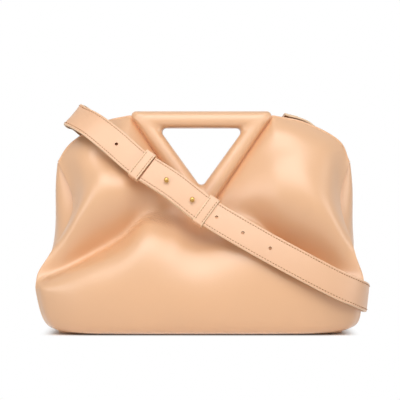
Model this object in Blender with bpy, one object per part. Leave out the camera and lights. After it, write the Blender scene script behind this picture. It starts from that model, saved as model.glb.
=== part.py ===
"""Soft leather bag with a triangular top handle, built piece by piece.

The bag stands on z = 0 with its length along x and its front towards -y.
Two leather halves, front and back, each carry one handle, and meet at the
mouth. Shapes are first given in millimetres as (x, depth, z), where depth is
the distance in front of the bag's middle plane, and turned into metres by
place(). The back half is the front half mirrored.
"""
import itertools
import math

import bmesh
import bpy
from mathutils import Matrix, Vector

MM = 0.001
GAP = 0.3

# Leather and lining thicknesses
PANEL_THICKNESS = 2.0
GUSSET_THICKNESS = 1.4
LINING_THICKNESS = 0.8
LINING_SLACK = 2.2
BASE_THICKNESS = 2.6
BOARD_THICKNESS = 2.0

# How far the soft upper part leans to the right: in the middle, more at the sides, and most at
# the shoulders. Each lean grows between two heights.
LEAN_MIDDLE = 1.5
LEAN_SIDE = 2.7
LEAN_BODY_Z = (60.0, 100.0)
LEAN_SHOULDER = 4.0
LEAN_SHOULDER_Z = (180.0, 215.0)
NOTCH_HALF_LENGTH = 76.5
HALF_LENGTH = 150.0

# The front panel's fold lines from the base seam to the mouth. Each line runs from
# the middle of the bag to its side: (x, depth, z).
PANEL_LINES = (
    # base seam, rolled hem, foot of the belly
    ((0, 60, 2), (30, 60, 2), (58, 60, 2), (86, 59, 2), (114, 56, 2), (137, 49, 2.4), (150, 38, 3.2)),
    ((0, 76, 1), (31, 76, 1), (60, 76, 1), (90, 75, 1), (120, 71, 1), (146, 60, 2.4), (160, 45, 6)),
    ((0, 85, 8), (32, 85, 8), (62, 85, 8), (93, 83, 8.5), (126, 78, 10), (156, 65, 13), (167.5, 50, 19)),
    # belly, its upper swell and the slope that runs back to the crease
    ((0, 88, 32), (32, 88, 32), (63, 87, 33), (96, 85, 35), (132, 79, 38), (161, 67, 41), (172, 54, 44)),
    ((0, 82, 66), (31, 83, 67), (61, 84, 69), (93, 83, 64), (129, 78, 58), (161, 68, 49), (172.5, 56.5, 49)),
    ((0, 64, 92), (30, 70, 98), (58, 73, 105), (88, 70, 88), (124, 66, 72), (157.5, 62.5, 57.5),
     (171.5, 56, 57)),
    # crease from the notch to the bottom corner, and the tuck above it
    ((0, 44, 106), (28, 46, 117), (57, 42, 122), (85, 33, 99), (119, 33, 80), (150, 46.5, 65.5),
     (169, 53.5, 64)),
    ((0, 36, 110), (27, 36, 125), (56, 38, 131), (84, 45, 116), (114, 49, 103), (142.5, 50, 90),
     (162, 48.5, 80)),
    # shoulder: underside, front and top
    ((0, 32, 112.5), (26, 31, 134), (54, 43, 151), (82, 58, 152), (110, 61, 146), (133, 56, 128),
     (153.5, 42, 104)),
    ((0, 30, 114.5), (26, 29.5, 143), (53, 35, 171), (80, 42, 185), (107, 46, 178), (130, 43, 158),
     (147, 31, 130)),
    ((0, 28.5, 116), (26, 25.5, 151), (52, 24, 185), (77, 26, 213), (106, 29, 208), (134, 29, 189),
     (146, 19, 153)),
    # mouth edge: along the notch to the handle's corner, then over the shoulder
    ((0, 28, 117), (26, 21.7, 155.3), (52, 15.2, 193.6), (76.5, 9, 229.6), (108.5, 8, 222.2),
     (143, 7, 202), (156.5, 5, 180)),
)
# The left side is pinched in further than the right, most at this row, the right crease hangs
# lower, and the right foot spreads further
LEFT_PINCH = 8.5
RIGHT_PINCH = 2.0
PINCH_ROW = 9.0
PINCH_REACH = 2.0
RIGHT_FOOT = 3.5
RIGHT_FOOT_ROW = 1.2
RIGHT_FOOT_REACH = 1.6
RIGHT_DROP = 12.0
RIGHT_DROP_ROW = 6.6
RIGHT_DROP_REACH = 3.4
RIGHT_DROP_COLUMN = 3.0
CORNER_COLUMN = 3
SIDE_COLUMN = 6
CELLS_PER_COLUMN = 2
CELLS_PER_LINE = 2
LINING_MARGIN = 1

# Side gussets: their middle line as (x, z), and how far they tuck in and back behind the
# ridge, one pair per panel line
GUSSET_MIDDLE = ((148, 3), (155, 5), (160, 12), (164, 30), (164, 52), (162, 66), (161, 78),
                 (161.5, 92), (160.5, 112), (162, 135), (161.5, 157), (156.8, 179.5))
GUSSET_TUCK = ((0.5, 4), (1, 6), (1.5, 7), (2, 8), (3, 9), (4, 9),
               (5, 9), (6, 9), (6.5, 9), (6, 8), (4, 5), (0.5, 1))
GUSSET_COLUMNS = 12
GUSSET_SEAM = 0.4

# Triangular handle: corners as (x, z), and its leaning inner plane
HANDLE_X = LEAN_MIDDLE
HANDLE_OUTER = ((-79.6, 235), (79.6, 235), (0, 118))
HANDLE_OUTER_RADII = (5.0, 5.0, 5.0)
HANDLE_HOLE = ((-46.5, 217), (46.5, 217), (0, 152.5))
HANDLE_HOLE_RADII = (4.5, 4.5, 5.0)
HANDLE_TOP_Z = 235.0
HANDLE_LEAN = 0.17
HANDLE_INNER_DEPTH = 0.4
CORNER_STEPS = 5
# Cross-sections as (share of the way from the hole to the outer edge, height over the inner plane)
COVER_SECTION = ((0.0, 1.6), (0.0, 8.5), (0.05, 12.2), (0.2, 14.9), (0.5, 16.0),
                 (0.8, 14.9), (0.95, 12.2), (1.0, 8.5), (1.0, 1.6),
                 (0.93, 1.6), (0.93, 8.5), (0.885, 11.6), (0.77, 13.7), (0.5, 14.7),
                 (0.23, 13.7), (0.115, 11.6), (0.07, 8.5), (0.07, 1.6))
CORE_SECTION = ((0.1, 1.6), (0.1, 8.3), (0.14, 11.1), (0.26, 13.3), (0.5, 14.3),
                (0.74, 13.3), (0.86, 11.1), (0.9, 8.3), (0.9, 1.6))
FACING_SECTION = ((0.03, 0.0), (0.03, 1.2), (0.97, 1.2), (0.97, 0.0))
MAGNET_X = 62.0
MAGNET_Z = 222.5
MAGNET_RADIUS = 5.5
MAGNET_THICKNESS = 2.4
MAGNET_SIDES = 16

# Strap: stations of its two edges from the left sewn end over the front to the right sewn end
STRAP_WIDTH = 30.0
STRAP_THICKNESS = 2.8
STRAP_ROUTE = (
    # behind the left shoulder and round the upper fold
    ((-66, -46, 192), (-84, -56, 168)), ((-98, -36, 216), (-112, -46, 194)),
    ((-122, -18, 237), (-135, -24, 216)), ((-130.5, -8, 239.5), (-143.5, 1, 222)),
    ((-127.5, 6, 239.5), (-141, 19, 222)),
    # across the front
    ((-109, 25, 231), (-121.5, 36, 210.5)), ((-84, 41, 212.5), (-99.5, 46, 192.5)),
    ((-56, 50, 190), (-71.5, 57, 167.5)), ((-20, 59, 166.5), (-35, 66, 143.5)),
    ((14, 67, 140.5), (-1, 74, 117.5)), ((64, 77, 112), (48, 85, 87)),
    ((113, 81, 87), (100, 90, 57)), ((148, 77, 68), (137.5, 86, 38)),
    # round the lower right corner
    ((168, 66, 57.5), (160, 74, 29.5)), ((175.5, 45, 52), (172, 49, 24)),
    ((177, 20, 50), (172, 20, 21)),
    ((176.5, -12, 50), (172, -14, 21)), ((176, -47, 56), (174, -55, 30)),
    # up the back to the handle's corner
    ((168, -69, 75), (158, -79, 51)), ((162, -61, 101), (138, -72, 92)),
    ((157, -56, 134), (131, -67, 126)),
    ((152, -46, 168), (126, -61, 158)), ((139, -32, 197), (117, -54, 180)),
    ((121, -13, 223.5), (106, -38, 203.5)), ((93, -5, 233.5), (80, -31, 212)),
)
STRAP_STEPS = 3
LEFT_STRAP_SPAN = (0.0, 9.05)
RIGHT_STRAP_SPAN = (7.27, 24.0)
ANCHOR_SPAN = 0.55
ANCHOR_THICKNESS = 1.8
ANCHOR_WIDTH = STRAP_WIDTH + 3.0
STUD_STATIONS = {"strap_stud_upper": 7.8, "strap_stud_lower": 8.6}
EMPTY_HOLES_LEFT = (6.15,)
EMPTY_HOLES_RIGHT = (9.24, 9.77, 10.31)
HOLE_RADIUS = 1.5
HOLE_SIDES = 8
KEEPER_STATIONS = {"strap_keeper_upper": 7.1, "strap_keeper_lower": 9.0}
KEEPER_LENGTH = 11.0
KEEPER_WALL = 1.8
KEEPER_PLAY = 0.6

# Stud profile: (radius, height over the middle of the doubled strap)
STUD_PROFILE = ((0.0, -5.1), (4.5, -5.1), (4.5, -3.4), (1.2, -3.4), (1.2, 3.6), (2.2, 4.4), (3.3, 6.0),
                (3.3, 7.4), (2.2, 9.0), (0.0, 9.8))
STUD_SIDES = 12

# Hanging zip pocket inside the back half: half widths, depths behind the middle plane, heights
POCKET_HALF_LENGTH = 72.0
POCKET_FRONT = 30.0
POCKET_BACK = POCKET_FRONT + 5.2
POCKET_WALL = 0.8
POCKET_BOTTOM_Z = 24.0
POCKET_LIP_Z = 78.0
POCKET_TOP_Z = 90.0
HEADER_TOP_Z = 104.0
HEADER_TOP_HALF_LENGTH = 30.0
ZIP_Z = 84.0
ZIP_SLIT = 1.6
TOOTH_HEIGHT = 1.4
TOOTH_PITCH = 5.0
TOOTH_SHARE = 0.55
TEETH_HALF_LENGTH = 70.0
TEETH_FRONT = POCKET_FRONT - 0.7
TEETH_BACK = POCKET_FRONT + 1.5
SLIDER_X = 62.0
PULL_AXIS_BEHIND = POCKET_FRONT - 4.1

TAPE_THICKNESS = 0.8
SLIDER_HALF_LENGTH = 4.5
SLIDER_HALF_HEIGHT = 4.0
SLIDER_PLATE = 1.0
SLIDER_POST_HALF_HEIGHT = ZIP_SLIT / 2 - 0.4
EAR_OFFSET = 1.7
EAR_THICKNESS = 0.8
EAR_HALF_HEIGHT = 1.4
EAR_REACH = 1.0
PIN_RADIUS = 0.55
EYE_RADIUS = 0.8
EYE_HALF_LENGTH = 3.0
ROUND_BAR_SIDES = 10
PULL_HALF_THICKNESS = 1.1
# Right half of the pull's outline, (x, z) from its pin
PULL_OUTLINE = ((1.0, 1.5), (1.0, -5.2), (3.0, -7.2), (3.4, -26.0), (2.2, -28.0))

# Axes on which the two halves tip open, along the bag's outer bottom edges
HINGE_DEPTH = 87.0
SHELL_PIECES = ("panel", "lining", "handle_cover", "handle_core", "handle_facing",
                "magnet_left", "magnet_right")

PALE_LEATHER = (0.87, 0.62, 0.42)
SUEDE = (0.46, 0.26, 0.13)
FIBREBOARD = (0.35, 0.27, 0.2)
CORE_PLASTIC = (0.2, 0.19, 0.18)
STEEL = (0.6, 0.6, 0.62)
GOLD = (0.75, 0.53, 0.24)
ZIP_TAPE = (0.4, 0.25, 0.15)


def make_material(name, colour, roughness, metallic=0.0):
    """Plain surface with the piece's own colour, roughness and metallic value."""
    material = bpy.data.materials.new(name)
    material.use_nodes = True
    shader = material.node_tree.nodes["Principled BSDF"]
    shader.inputs["Base Color"].default_value = (*colour, 1.0)
    shader.inputs["Roughness"].default_value = roughness
    shader.inputs["Metallic"].default_value = metallic
    return material


def make_object(name, bm, colour, roughness=0.5, metallic=0.0):
    """Turn a bmesh in metres into a named object with its own material."""
    mesh = bpy.data.meshes.new(name)
    bm.to_mesh(mesh)
    bm.free()
    piece = bpy.data.objects.new(name, mesh)
    bpy.context.collection.objects.link(piece)
    mesh.materials.append(make_material(name, colour, roughness, metallic))
    return piece


def finished(name, bm, colour, roughness, metallic=0.0):
    """Object whose faces all point outwards."""
    bmesh.ops.recalc_face_normals(bm, faces=bm.faces)
    return make_object(name, bm, colour, roughness, metallic)


def set_origin(piece, origin):
    """Move an object's origin to a place, without moving its shape."""
    piece.data.transform(Matrix.Translation(-origin))
    piece.location = origin


def place(x, depth, z):
    """Point in metres for a place given in millimetres, depth towards the front."""
    return Vector((x, -depth, z)) * MM


def smooth_step(value, low, high):
    share = min(1.0, max(0.0, (value - low) / (high - low)))
    return share * share * (3.0 - 2.0 * share)


def hump(value, centre, reach):
    """Smooth rise to 1 at a centre, from 0 at a reach to either side."""
    return smooth_step(1.0 - abs(value - centre) / reach, 0.0, 1.0)


def leaned(x, z):
    """x moved by the soft body's sideways lean."""
    side = smooth_step(abs(x), NOTCH_HALF_LENGTH, HALF_LENGTH)
    body = smooth_step(z, *LEAN_BODY_Z) * (LEAN_MIDDLE + LEAN_SIDE * side)
    return x + body + smooth_step(z, *LEAN_SHOULDER_Z) * LEAN_SHOULDER * side


def spline(points, at, passing):
    """Point on a cubic spline. It passes through its points, or only follows them closely."""
    points = [Vector(p) for p in points]
    padded = [2 * points[0] - points[1], *points, 2 * points[-1] - points[-2]]
    index = min(int(at), len(points) - 2)
    t = at - index
    a, b, c, d = padded[index:index + 4]
    if passing:
        square, cube = 2 * a - 5 * b + 4 * c - d, 3 * b - a - 3 * c + d
        return 0.5 * (2 * b + (c - a) * t + square * t ** 2 + cube * t ** 3)
    return (a * (1 - t) ** 3 + b * (3 * t ** 3 - 6 * t ** 2 + 4)
            + c * (1 + 3 * t + 3 * t ** 2 - 3 * t ** 3) + d * t ** 3) / 6


def line_point(line, column):
    """Point on one panel line at a column, counted from the middle to the side."""
    mirrored = [(-x, depth, z) for x, depth, z in reversed(line[1:])]
    is_mouth = line is PANEL_LINES[-1]
    if is_mouth and abs(column) <= CORNER_COLUMN:
        index = min(int(abs(column)), CORNER_COLUMN - 1)
        point = Vector(line[index]).lerp(Vector(line[index + 1]), abs(column) - index)
    elif is_mouth:
        point = spline(line[CORNER_COLUMN:], abs(column) - CORNER_COLUMN, passing=True)
    else:
        return spline(mirrored + list(line), column + SIDE_COLUMN, passing=True)
    return Vector((math.copysign(point.x, column), point.y, point.z))


def panel_point(column, row):
    """Point (x, depth, z) of the front panel's outer face. Row 0 is the base seam, 11 the mouth."""
    column_points = [line_point(line, column) for line in PANEL_LINES]
    point = spline(column_points, row, passing=False)
    at_side = smooth_step(abs(column), CORNER_COLUMN, SIDE_COLUMN)
    pinched = at_side * hump(row, PINCH_ROW, PINCH_REACH)
    if column < 0:
        point.x += LEFT_PINCH * pinched
    else:
        point.x += RIGHT_FOOT * at_side * hump(row, RIGHT_FOOT_ROW, RIGHT_FOOT_REACH) - RIGHT_PINCH * pinched
        at_middle = hump(column, RIGHT_DROP_COLUMN, RIGHT_DROP_COLUMN)
        point.z -= RIGHT_DROP * at_middle * hump(row, RIGHT_DROP_ROW, RIGHT_DROP_REACH)
    return Vector((leaned(point.x, point.z), point.y, point.z))


def panel_normal(column, row):
    """Outward unit direction of the front panel at a place."""
    step = 0.02
    last_row = len(PANEL_LINES) - 1
    left, right = max(column - step, -SIDE_COLUMN), min(column + step, SIDE_COLUMN)
    low, high = max(row - step, 0), min(row + step, last_row)
    along_x = panel_point(right, row) - panel_point(left, row)
    along_z = panel_point(column, high) - panel_point(column, low)
    return along_z.cross(along_x).normalized()


def steps(low, high, count):
    return [low + (high - low) * i / count for i in range(count + 1)]


def sheet(name, rows, thickness, flip, colour, roughness, grow=-1.0):
    """Closed leather sheet over a grid of points (x, depth, z), thickened to one side."""
    bm = bmesh.new()
    grid = [[bm.verts.new(place(*p)) for p in row] for row in rows]
    for lower, upper in zip(grid, grid[1:]):
        for i in range(len(lower) - 1):
            corners = (lower[i], lower[i + 1], upper[i + 1], upper[i])
            bm.faces.new(reversed(corners) if flip else corners)
    piece = make_object(name, bm, colour, roughness)
    piece.data.shade_smooth()
    wall = piece.modifiers.new("wall", "SOLIDIFY")
    wall.thickness = thickness * MM
    wall.offset = grow
    return piece


def panel_rows():
    last_row = len(PANEL_LINES) - 1
    return steps(0, last_row, CELLS_PER_LINE * last_row)


def build_panels():
    """Front and back leather panels with their linings."""
    columns = steps(-SIDE_COLUMN, SIDE_COLUMN, 2 * SIDE_COLUMN * CELLS_PER_COLUMN)
    rows = panel_rows()
    outer = [[panel_point(column, row) for column in columns] for row in rows]

    inset = PANEL_THICKNESS + LINING_SLACK
    margin = slice(LINING_MARGIN, -LINING_MARGIN)
    inner = [[panel_point(column, row) - panel_normal(column, row) * inset for column in columns[margin]]
             for row in rows[2 * LINING_MARGIN:-LINING_MARGIN]]

    for side, sign in (("front", 1), ("back", -1)):
        panel = [[(p.x, sign * p.y, p.z) for p in row] for row in outer]
        lining = [[(p.x, sign * p.y, p.z) for p in row] for row in inner]
        sheet(f"{side}_panel", panel, PANEL_THICKNESS, sign < 0, PALE_LEATHER, 0.45)
        sheet(f"{side}_lining", lining, LINING_THICKNESS, sign < 0, SUEDE, 0.9)


def gusset_section(row, side):
    """Control points of one gusset's cross-section, from the front ridge to the middle."""
    ridge = panel_point(side * SIDE_COLUMN, row)
    seam = ridge - panel_normal(side * SIDE_COLUMN, row) * (PANEL_THICKNESS + GUSSET_SEAM)
    middle_x, middle_z = spline([(x, z, 0) for x, z in GUSSET_MIDDLE], row, passing=False).xy
    middle = Vector((leaned(side * middle_x, middle_z), 0, middle_z))
    tuck_in, tuck_back = spline([(x, y, 0) for x, y in GUSSET_TUCK], row, passing=False).xy
    tuck = seam + Vector((-side * tuck_in, -min(tuck_back, 0.4 * seam.y), 0))
    swell = middle.lerp(tuck, 0.3)
    swell.y = 0.45 * seam.y
    return [seam, tuck, swell, middle]


def build_gussets():
    """Folded leather sides that join the two halves."""
    for name, side in (("left_gusset", -1), ("right_gusset", 1)):
        rows = []
        for row in panel_rows():
            half = gusset_section(row, side)
            across = half + [Vector((p.x, -p.y, p.z)) for p in reversed(half[:-1])]
            columns = steps(0, len(across) - 1, GUSSET_COLUMNS)
            rows.append([spline(across, at, passing=False) for at in columns])
        sheet(name, rows, GUSSET_THICKNESS, side < 0, PALE_LEATHER, 0.5, grow=1.0)


def base_outline(inset):
    """Outline of the bag's bottom inside the panels' seams, as (x, depth)."""
    front = [panel_point(column, 0) for column in steps(-SIDE_COLUMN, SIDE_COLUMN, 2 * SIDE_COLUMN)]
    front = [(p.x - math.copysign(min(inset, abs(p.x)), p.x), p.y - inset) for p in front]
    end = GUSSET_MIDDLE[0][0] - GUSSET_THICKNESS - inset
    return [*front, (end, 0), *[(x, -depth) for x, depth in reversed(front)], (-end, 0)]


def plate(name, outline, low_z, high_z, colour, roughness):
    """Flat plate between two heights over an outline of (x, depth)."""
    bm = bmesh.new()
    face = bm.faces.new([bm.verts.new(place(x, depth, low_z)) for x, depth in outline])
    extruded = bmesh.ops.extrude_face_region(bm, geom=[face])
    top = [v for v in extruded["geom"] if isinstance(v, bmesh.types.BMVert)]
    bmesh.ops.translate(bm, verts=top, vec=(0, 0, (high_z - low_z) * MM))
    return finished(name, bm, colour, roughness)


def build_base():
    """Leather bottom, its stiffening board and the lining over it."""
    board_low = BASE_THICKNESS + GAP
    board_high = board_low + BOARD_THICKNESS
    plate("base_panel", base_outline(2 * GAP), 0.0, BASE_THICKNESS, PALE_LEATHER, 0.6)
    lining_low = board_high + GAP
    plate("base_board", base_outline(4.5), board_low, board_high, FIBREBOARD, 0.9)
    plate("base_lining", base_outline(4.0), lining_low, lining_low + LINING_THICKNESS, SUEDE, 0.9)


def rounded_triangle(corners, radii):
    """Outline (x, z) of a triangle with round corners."""
    outline = []
    for i, radius in enumerate(radii):
        corner = Vector(corners[i])
        to_previous = (Vector(corners[i - 1]) - corner).normalized()
        to_next = (Vector(corners[(i + 1) % 3]) - corner).normalized()
        half_angle = to_previous.angle(to_next) / 2
        bisector = (to_previous + to_next).normalized()
        centre = corner + bisector * radius / math.sin(half_angle)
        start = corner + to_previous * radius / math.tan(half_angle) - centre
        end = corner + to_next * radius / math.tan(half_angle) - centre
        for step in range(CORNER_STEPS):
            direction = start.lerp(end, step / (CORNER_STEPS - 1)).normalized()
            outline.append(centre + direction * radius)
    return outline


def handle_point(x, z, height, sign):
    """Point of a handle at a height over its leaning inner plane."""
    depth = HANDLE_INNER_DEPTH + (HANDLE_TOP_Z - z) * HANDLE_LEAN + height
    return place(x + HANDLE_X, sign * depth, z)


def handle_ring(name, section, sign, colour, roughness):
    """Closed triangular ring with one cross-section all round."""
    outer = rounded_triangle(HANDLE_OUTER, HANDLE_OUTER_RADII)
    hole = rounded_triangle(HANDLE_HOLE, HANDLE_HOLE_RADII)
    bm = bmesh.new()
    loops = []
    for share, height in section:
        ring = [inside.lerp(outside, share) for inside, outside in zip(hole, outer)]
        loops.append([bm.verts.new(handle_point(p.x, p.y, height, sign)) for p in ring])
    for one, other in zip(loops, loops[1:] + loops[:1]):
        for i in range(len(one)):
            j = (i + 1) % len(one)
            bm.faces.new((one[i], one[j], other[j], other[i]))
    piece = finished(name, bm, colour, roughness)
    piece.data.shade_smooth()
    piece.data.set_sharp_from_angle(angle=math.radians(50))
    return piece


def magnet_cylinder(bm, x, radius, low, high, sign):
    """One disc whose flat faces lie along a handle's inner plane."""
    rings = []
    for height in (low, high):
        angles = [2 * math.pi * i / MAGNET_SIDES for i in range(MAGNET_SIDES)]
        ring = [(x + radius * math.cos(a), MAGNET_Z + radius * math.sin(a)) for a in angles]
        rings.append([bm.verts.new(handle_point(*point, height, sign)) for point in ring])
    bridge(bm, *rings)


def cut(piece, name, bm, operation="DIFFERENCE"):
    """Cut a closed shape out of a piece, or join it on, with a live boolean."""
    cutter = finished(name, bm, STEEL, 0.5)
    cutter.hide_render = True
    cutter.display_type = "WIRE"
    modifier = piece.modifiers.new(name, "BOOLEAN")
    modifier.operation = operation
    modifier.solver = "EXACT"
    modifier.object = cutter


def build_handles():
    """Leather cover, stiff core, inner facing and two magnets of each handle."""
    magnet_low = CORE_SECTION[0][1]
    magnet_high = magnet_low + MAGNET_THICKNESS
    for side, sign in (("front", 1), ("back", -1)):
        handle_ring(f"{side}_handle_cover", COVER_SECTION, sign, PALE_LEATHER, 0.42)
        core = handle_ring(f"{side}_handle_core", CORE_SECTION, sign, CORE_PLASTIC, 0.6)
        handle_ring(f"{side}_handle_facing", FACING_SECTION, sign, PALE_LEATHER, 0.5)
        pockets = bmesh.new()
        for end, x in (("left", -MAGNET_X), ("right", MAGNET_X)):
            magnet_cylinder(pockets, x, MAGNET_RADIUS + GAP, magnet_low - 1, magnet_high + GAP, sign)
            magnet = bmesh.new()
            magnet_cylinder(magnet, x, MAGNET_RADIUS, magnet_low, magnet_high, sign)
            finished(f"{side}_magnet_{end}", magnet, STEEL, 0.3, 1.0)
        cut(core, f"{side}_magnet_pockets", pockets)


def strap_frame(at):
    """Centre, direction along, direction across and outward direction of the strap at a station."""
    centres = [(Vector(upper) + Vector(lower)) / 2 for upper, lower in STRAP_ROUTE]
    widths = [Vector(upper) - Vector(lower) for upper, lower in STRAP_ROUTE]
    last = len(STRAP_ROUTE) - 1
    centre = spline(centres, at, passing=True)
    before, after = max(at - 0.02, 0), min(at + 0.02, last)
    along = (spline(centres, after, passing=True) - spline(centres, before, passing=True)).normalized()
    across = spline(widths, at, passing=True)
    across = (across - along * across.dot(along)).normalized()
    outward = across.cross(along)
    return centre, along, across, outward


def ribbon(name, stations, low, high, width):
    """Flat leather band along the strap's route between two heights over its middle surface."""
    bm = bmesh.new()
    sections = []
    for at in stations:
        centre, _, across, outward = strap_frame(at)
        corners = ((0.5, low), (-0.5, low), (-0.5, high), (0.5, high))
        points = [centre + across * side * width + outward * height for side, height in corners]
        sections.append([bm.verts.new(place(*p)) for p in points])
    for one, other in zip(sections, sections[1:]):
        for i in range(4):
            j = (i + 1) % 4
            bm.faces.new((one[i], one[j], other[j], other[i]))
    bm.faces.new(sections[0])
    bm.faces.new(sections[-1])
    return finished(name, bm, PALE_LEATHER, 0.45)


def turned_on_strap(bm, at, profile, sides):
    """Turn a profile of (radius, height) about the strap's outward direction at a station."""
    centre, along, across, outward = strap_frame(at)
    rings = []
    for radius, height in profile:
        if radius == 0.0:
            rings.append([bm.verts.new(place(*(centre + outward * height)))])
            continue
        ring = []
        for i in range(sides):
            angle = 2 * math.pi * i / sides
            spoke = along * math.cos(angle) + across * math.sin(angle)
            ring.append(bm.verts.new(place(*(centre + spoke * radius + outward * height))))
        rings.append(ring)
    for one, other in zip(rings, rings[1:]):
        for i in range(sides):
            j = (i + 1) % sides
            corners = [one[i % len(one)], one[j % len(one)], other[j % len(other)], other[i % len(other)]]
            bm.faces.new(list(dict.fromkeys(corners)))


def strap_steps(span):
    low, high = span
    return steps(low, high, round((high - low) * STRAP_STEPS))


def build_strap():
    """Two strap lengths that overlap on the front, their studs and their sewn ends."""
    half_gap = GAP / 2
    top = half_gap + STRAP_THICKNESS
    left = ribbon("strap_left", strap_steps(LEFT_STRAP_SPAN), -top, -half_gap, STRAP_WIDTH)
    right = ribbon("strap_right", strap_steps(RIGHT_STRAP_SPAN), half_gap, top, STRAP_WIDTH)

    reach = 2 * STRAP_THICKNESS
    hole_profile = ((0, -reach), (HOLE_RADIUS, -reach), (HOLE_RADIUS, reach), (0, reach))
    for piece, empty_holes in ((left, EMPTY_HOLES_LEFT), (right, EMPTY_HOLES_RIGHT)):
        cutter = bmesh.new()
        for at in (*STUD_STATIONS.values(), *empty_holes):
            turned_on_strap(cutter, at, hole_profile, HOLE_SIDES)
        cut(piece, f"{piece.name}_holes", cutter)

    for name, at in STUD_STATIONS.items():
        stud = bmesh.new()
        turned_on_strap(stud, at, STUD_PROFILE, STUD_SIDES)
        finished(name, stud, GOLD, 0.25, 1.0)

    last = len(STRAP_ROUTE) - 1
    for name, stations, low in (("strap_anchor_left", steps(0, ANCHOR_SPAN, 3), GAP - half_gap),
                                ("strap_anchor_right", steps(last - ANCHOR_SPAN, last, 3), GAP + top)):
        ribbon(name, stations, low, low + ANCHOR_THICKNESS, ANCHOR_WIDTH)


def build_keepers():
    """Leather loops round the doubled strap, each with its origin on the strap's middle."""
    half_width = STRAP_WIDTH / 2 + KEEPER_PLAY
    half_height = STRAP_THICKNESS + GAP / 2 + KEEPER_PLAY
    corners = ((1, -1), (-1, -1), (-1, 1), (1, 1))
    for name, at in KEEPER_STATIONS.items():
        centre, along, across, outward = strap_frame(at)
        bm = bmesh.new()
        loops = []
        for end in (-KEEPER_LENGTH / 2, KEEPER_LENGTH / 2):
            for grow in (0.0, KEEPER_WALL):
                wide, high = across * (half_width + grow), outward * (half_height + grow)
                points = [centre + along * end + wide * a + high * b for a, b in corners]
                loops.append([bm.verts.new(place(*p)) for p in points])
        order = (loops[0], loops[1], loops[3], loops[2])
        for one, other in zip(order, order[1:] + order[:1]):
            for i in range(4):
                j = (i + 1) % 4
                bm.faces.new((one[i], one[j], other[j], other[i]))
        set_origin(finished(name, bm, PALE_LEATHER, 0.45), place(*centre))


def box(bm, low, high):
    """Box between two corners given as (x, depth, z)."""
    verts = [bm.verts.new(place(*p)) for p in itertools.product(*zip(low, high))]
    for corners in ((0, 1, 3, 2), (4, 6, 7, 5), (0, 4, 5, 1), (2, 3, 7, 6), (0, 2, 6, 4), (1, 5, 7, 3)):
        bm.faces.new([verts[i] for i in corners])


def bridge(bm, one, other):
    """Solid between two like outlines of vertices."""
    bm.faces.new(one)
    bm.faces.new(other)
    for i in range(len(one)):
        j = (i + 1) % len(one)
        bm.faces.new((one[i], one[j], other[j], other[i]))


def extruded_outline(bm, outline, depths):
    """Solid between two depths over an outline of (x, z)."""
    bridge(bm, *[[bm.verts.new(place(x, depth, z)) for x, z in outline] for depth in depths])


def extruded_profile(bm, profile, ends):
    """Solid between two x places over a profile of (depth, z)."""
    bridge(bm, *[[bm.verts.new(place(x, depth, z)) for depth, z in profile] for x in ends])


def round_bar(bm, x, depth, z, radius, half_length):
    """Round bar along x."""
    angles = [2 * math.pi * i / ROUND_BAR_SIDES for i in range(ROUND_BAR_SIDES)]
    profile = [(depth + radius * math.cos(a), z + radius * math.sin(a)) for a in angles]
    extruded_profile(bm, profile, (x - half_length, x + half_length))


def build_pocket_bag():
    """Flat pocket that hangs from the back half's lining, and the leather header over it."""
    half, wall = POCKET_HALF_LENGTH, POCKET_WALL
    back, front = -POCKET_BACK, -POCKET_FRONT
    bag = bmesh.new()
    inner_back = back + wall
    profile = ((front, POCKET_BOTTOM_Z), (front, POCKET_LIP_Z), (inner_back, POCKET_LIP_Z),
               (inner_back, POCKET_TOP_Z), (back, POCKET_TOP_Z), (back, POCKET_BOTTOM_Z))
    extruded_profile(bag, profile, (-half, half))
    pocket = finished("pocket_bag", bag, SUEDE, 0.9)
    hollow = bmesh.new()
    box(hollow, (wall - half, inner_back, POCKET_BOTTOM_Z + wall),
        (half - wall, front - wall, POCKET_TOP_Z + wall))
    cut(pocket, "pocket_hollow", hollow)

    header = bmesh.new()
    top, low_z = HEADER_TOP_HALF_LENGTH, POCKET_TOP_Z + GAP
    outline = ((-half, low_z), (half, low_z), (top, HEADER_TOP_Z), (-top, HEADER_TOP_Z))
    extruded_outline(header, outline, (back, front))
    finished("pocket_header", header, PALE_LEATHER, 0.5)


def build_zip():
    """Tapes and tooth rows on the two sides of the zip's slit."""
    half, front = POCKET_HALF_LENGTH, -POCKET_FRONT
    inner_edge = ZIP_SLIT / 2 + TOOTH_HEIGHT + GAP
    for name, low_z, high_z in (("zip_tape_lower", POCKET_LIP_Z + GAP, ZIP_Z - inner_edge),
                                ("zip_tape_upper", ZIP_Z + inner_edge, POCKET_TOP_Z)):
        tape = bmesh.new()
        box(tape, (-half, front - TAPE_THICKNESS, low_z), (half, front, high_z))
        finished(name, tape, ZIP_TAPE, 0.85)

    count = int(2 * TEETH_HALF_LENGTH / TOOTH_PITCH)
    tooth_width = TOOTH_PITCH * TOOTH_SHARE
    for name, way in (("zip_teeth_lower", -1), ("zip_teeth_upper", 1)):
        inner, root = ZIP_Z + way * ZIP_SLIT / 2, ZIP_Z + way * (ZIP_SLIT / 2 + TOOTH_HEIGHT)
        notch = ZIP_Z + way * (ZIP_SLIT / 2 + TOOTH_SHARE * TOOTH_HEIGHT)
        outline = [(-TEETH_HALF_LENGTH, root)]
        for i in range(count):
            start = i * TOOTH_PITCH - TEETH_HALF_LENGTH
            outline += [(start, inner), (start + tooth_width, inner), (start + tooth_width, notch),
                        (start + TOOTH_PITCH, notch)]
        outline.append((count * TOOTH_PITCH - TEETH_HALF_LENGTH, root))
        teeth = bmesh.new()
        extruded_outline(teeth, outline, (-TEETH_BACK, -TEETH_FRONT))
        finished(name, teeth, GOLD, 0.3, 1.0)


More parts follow.
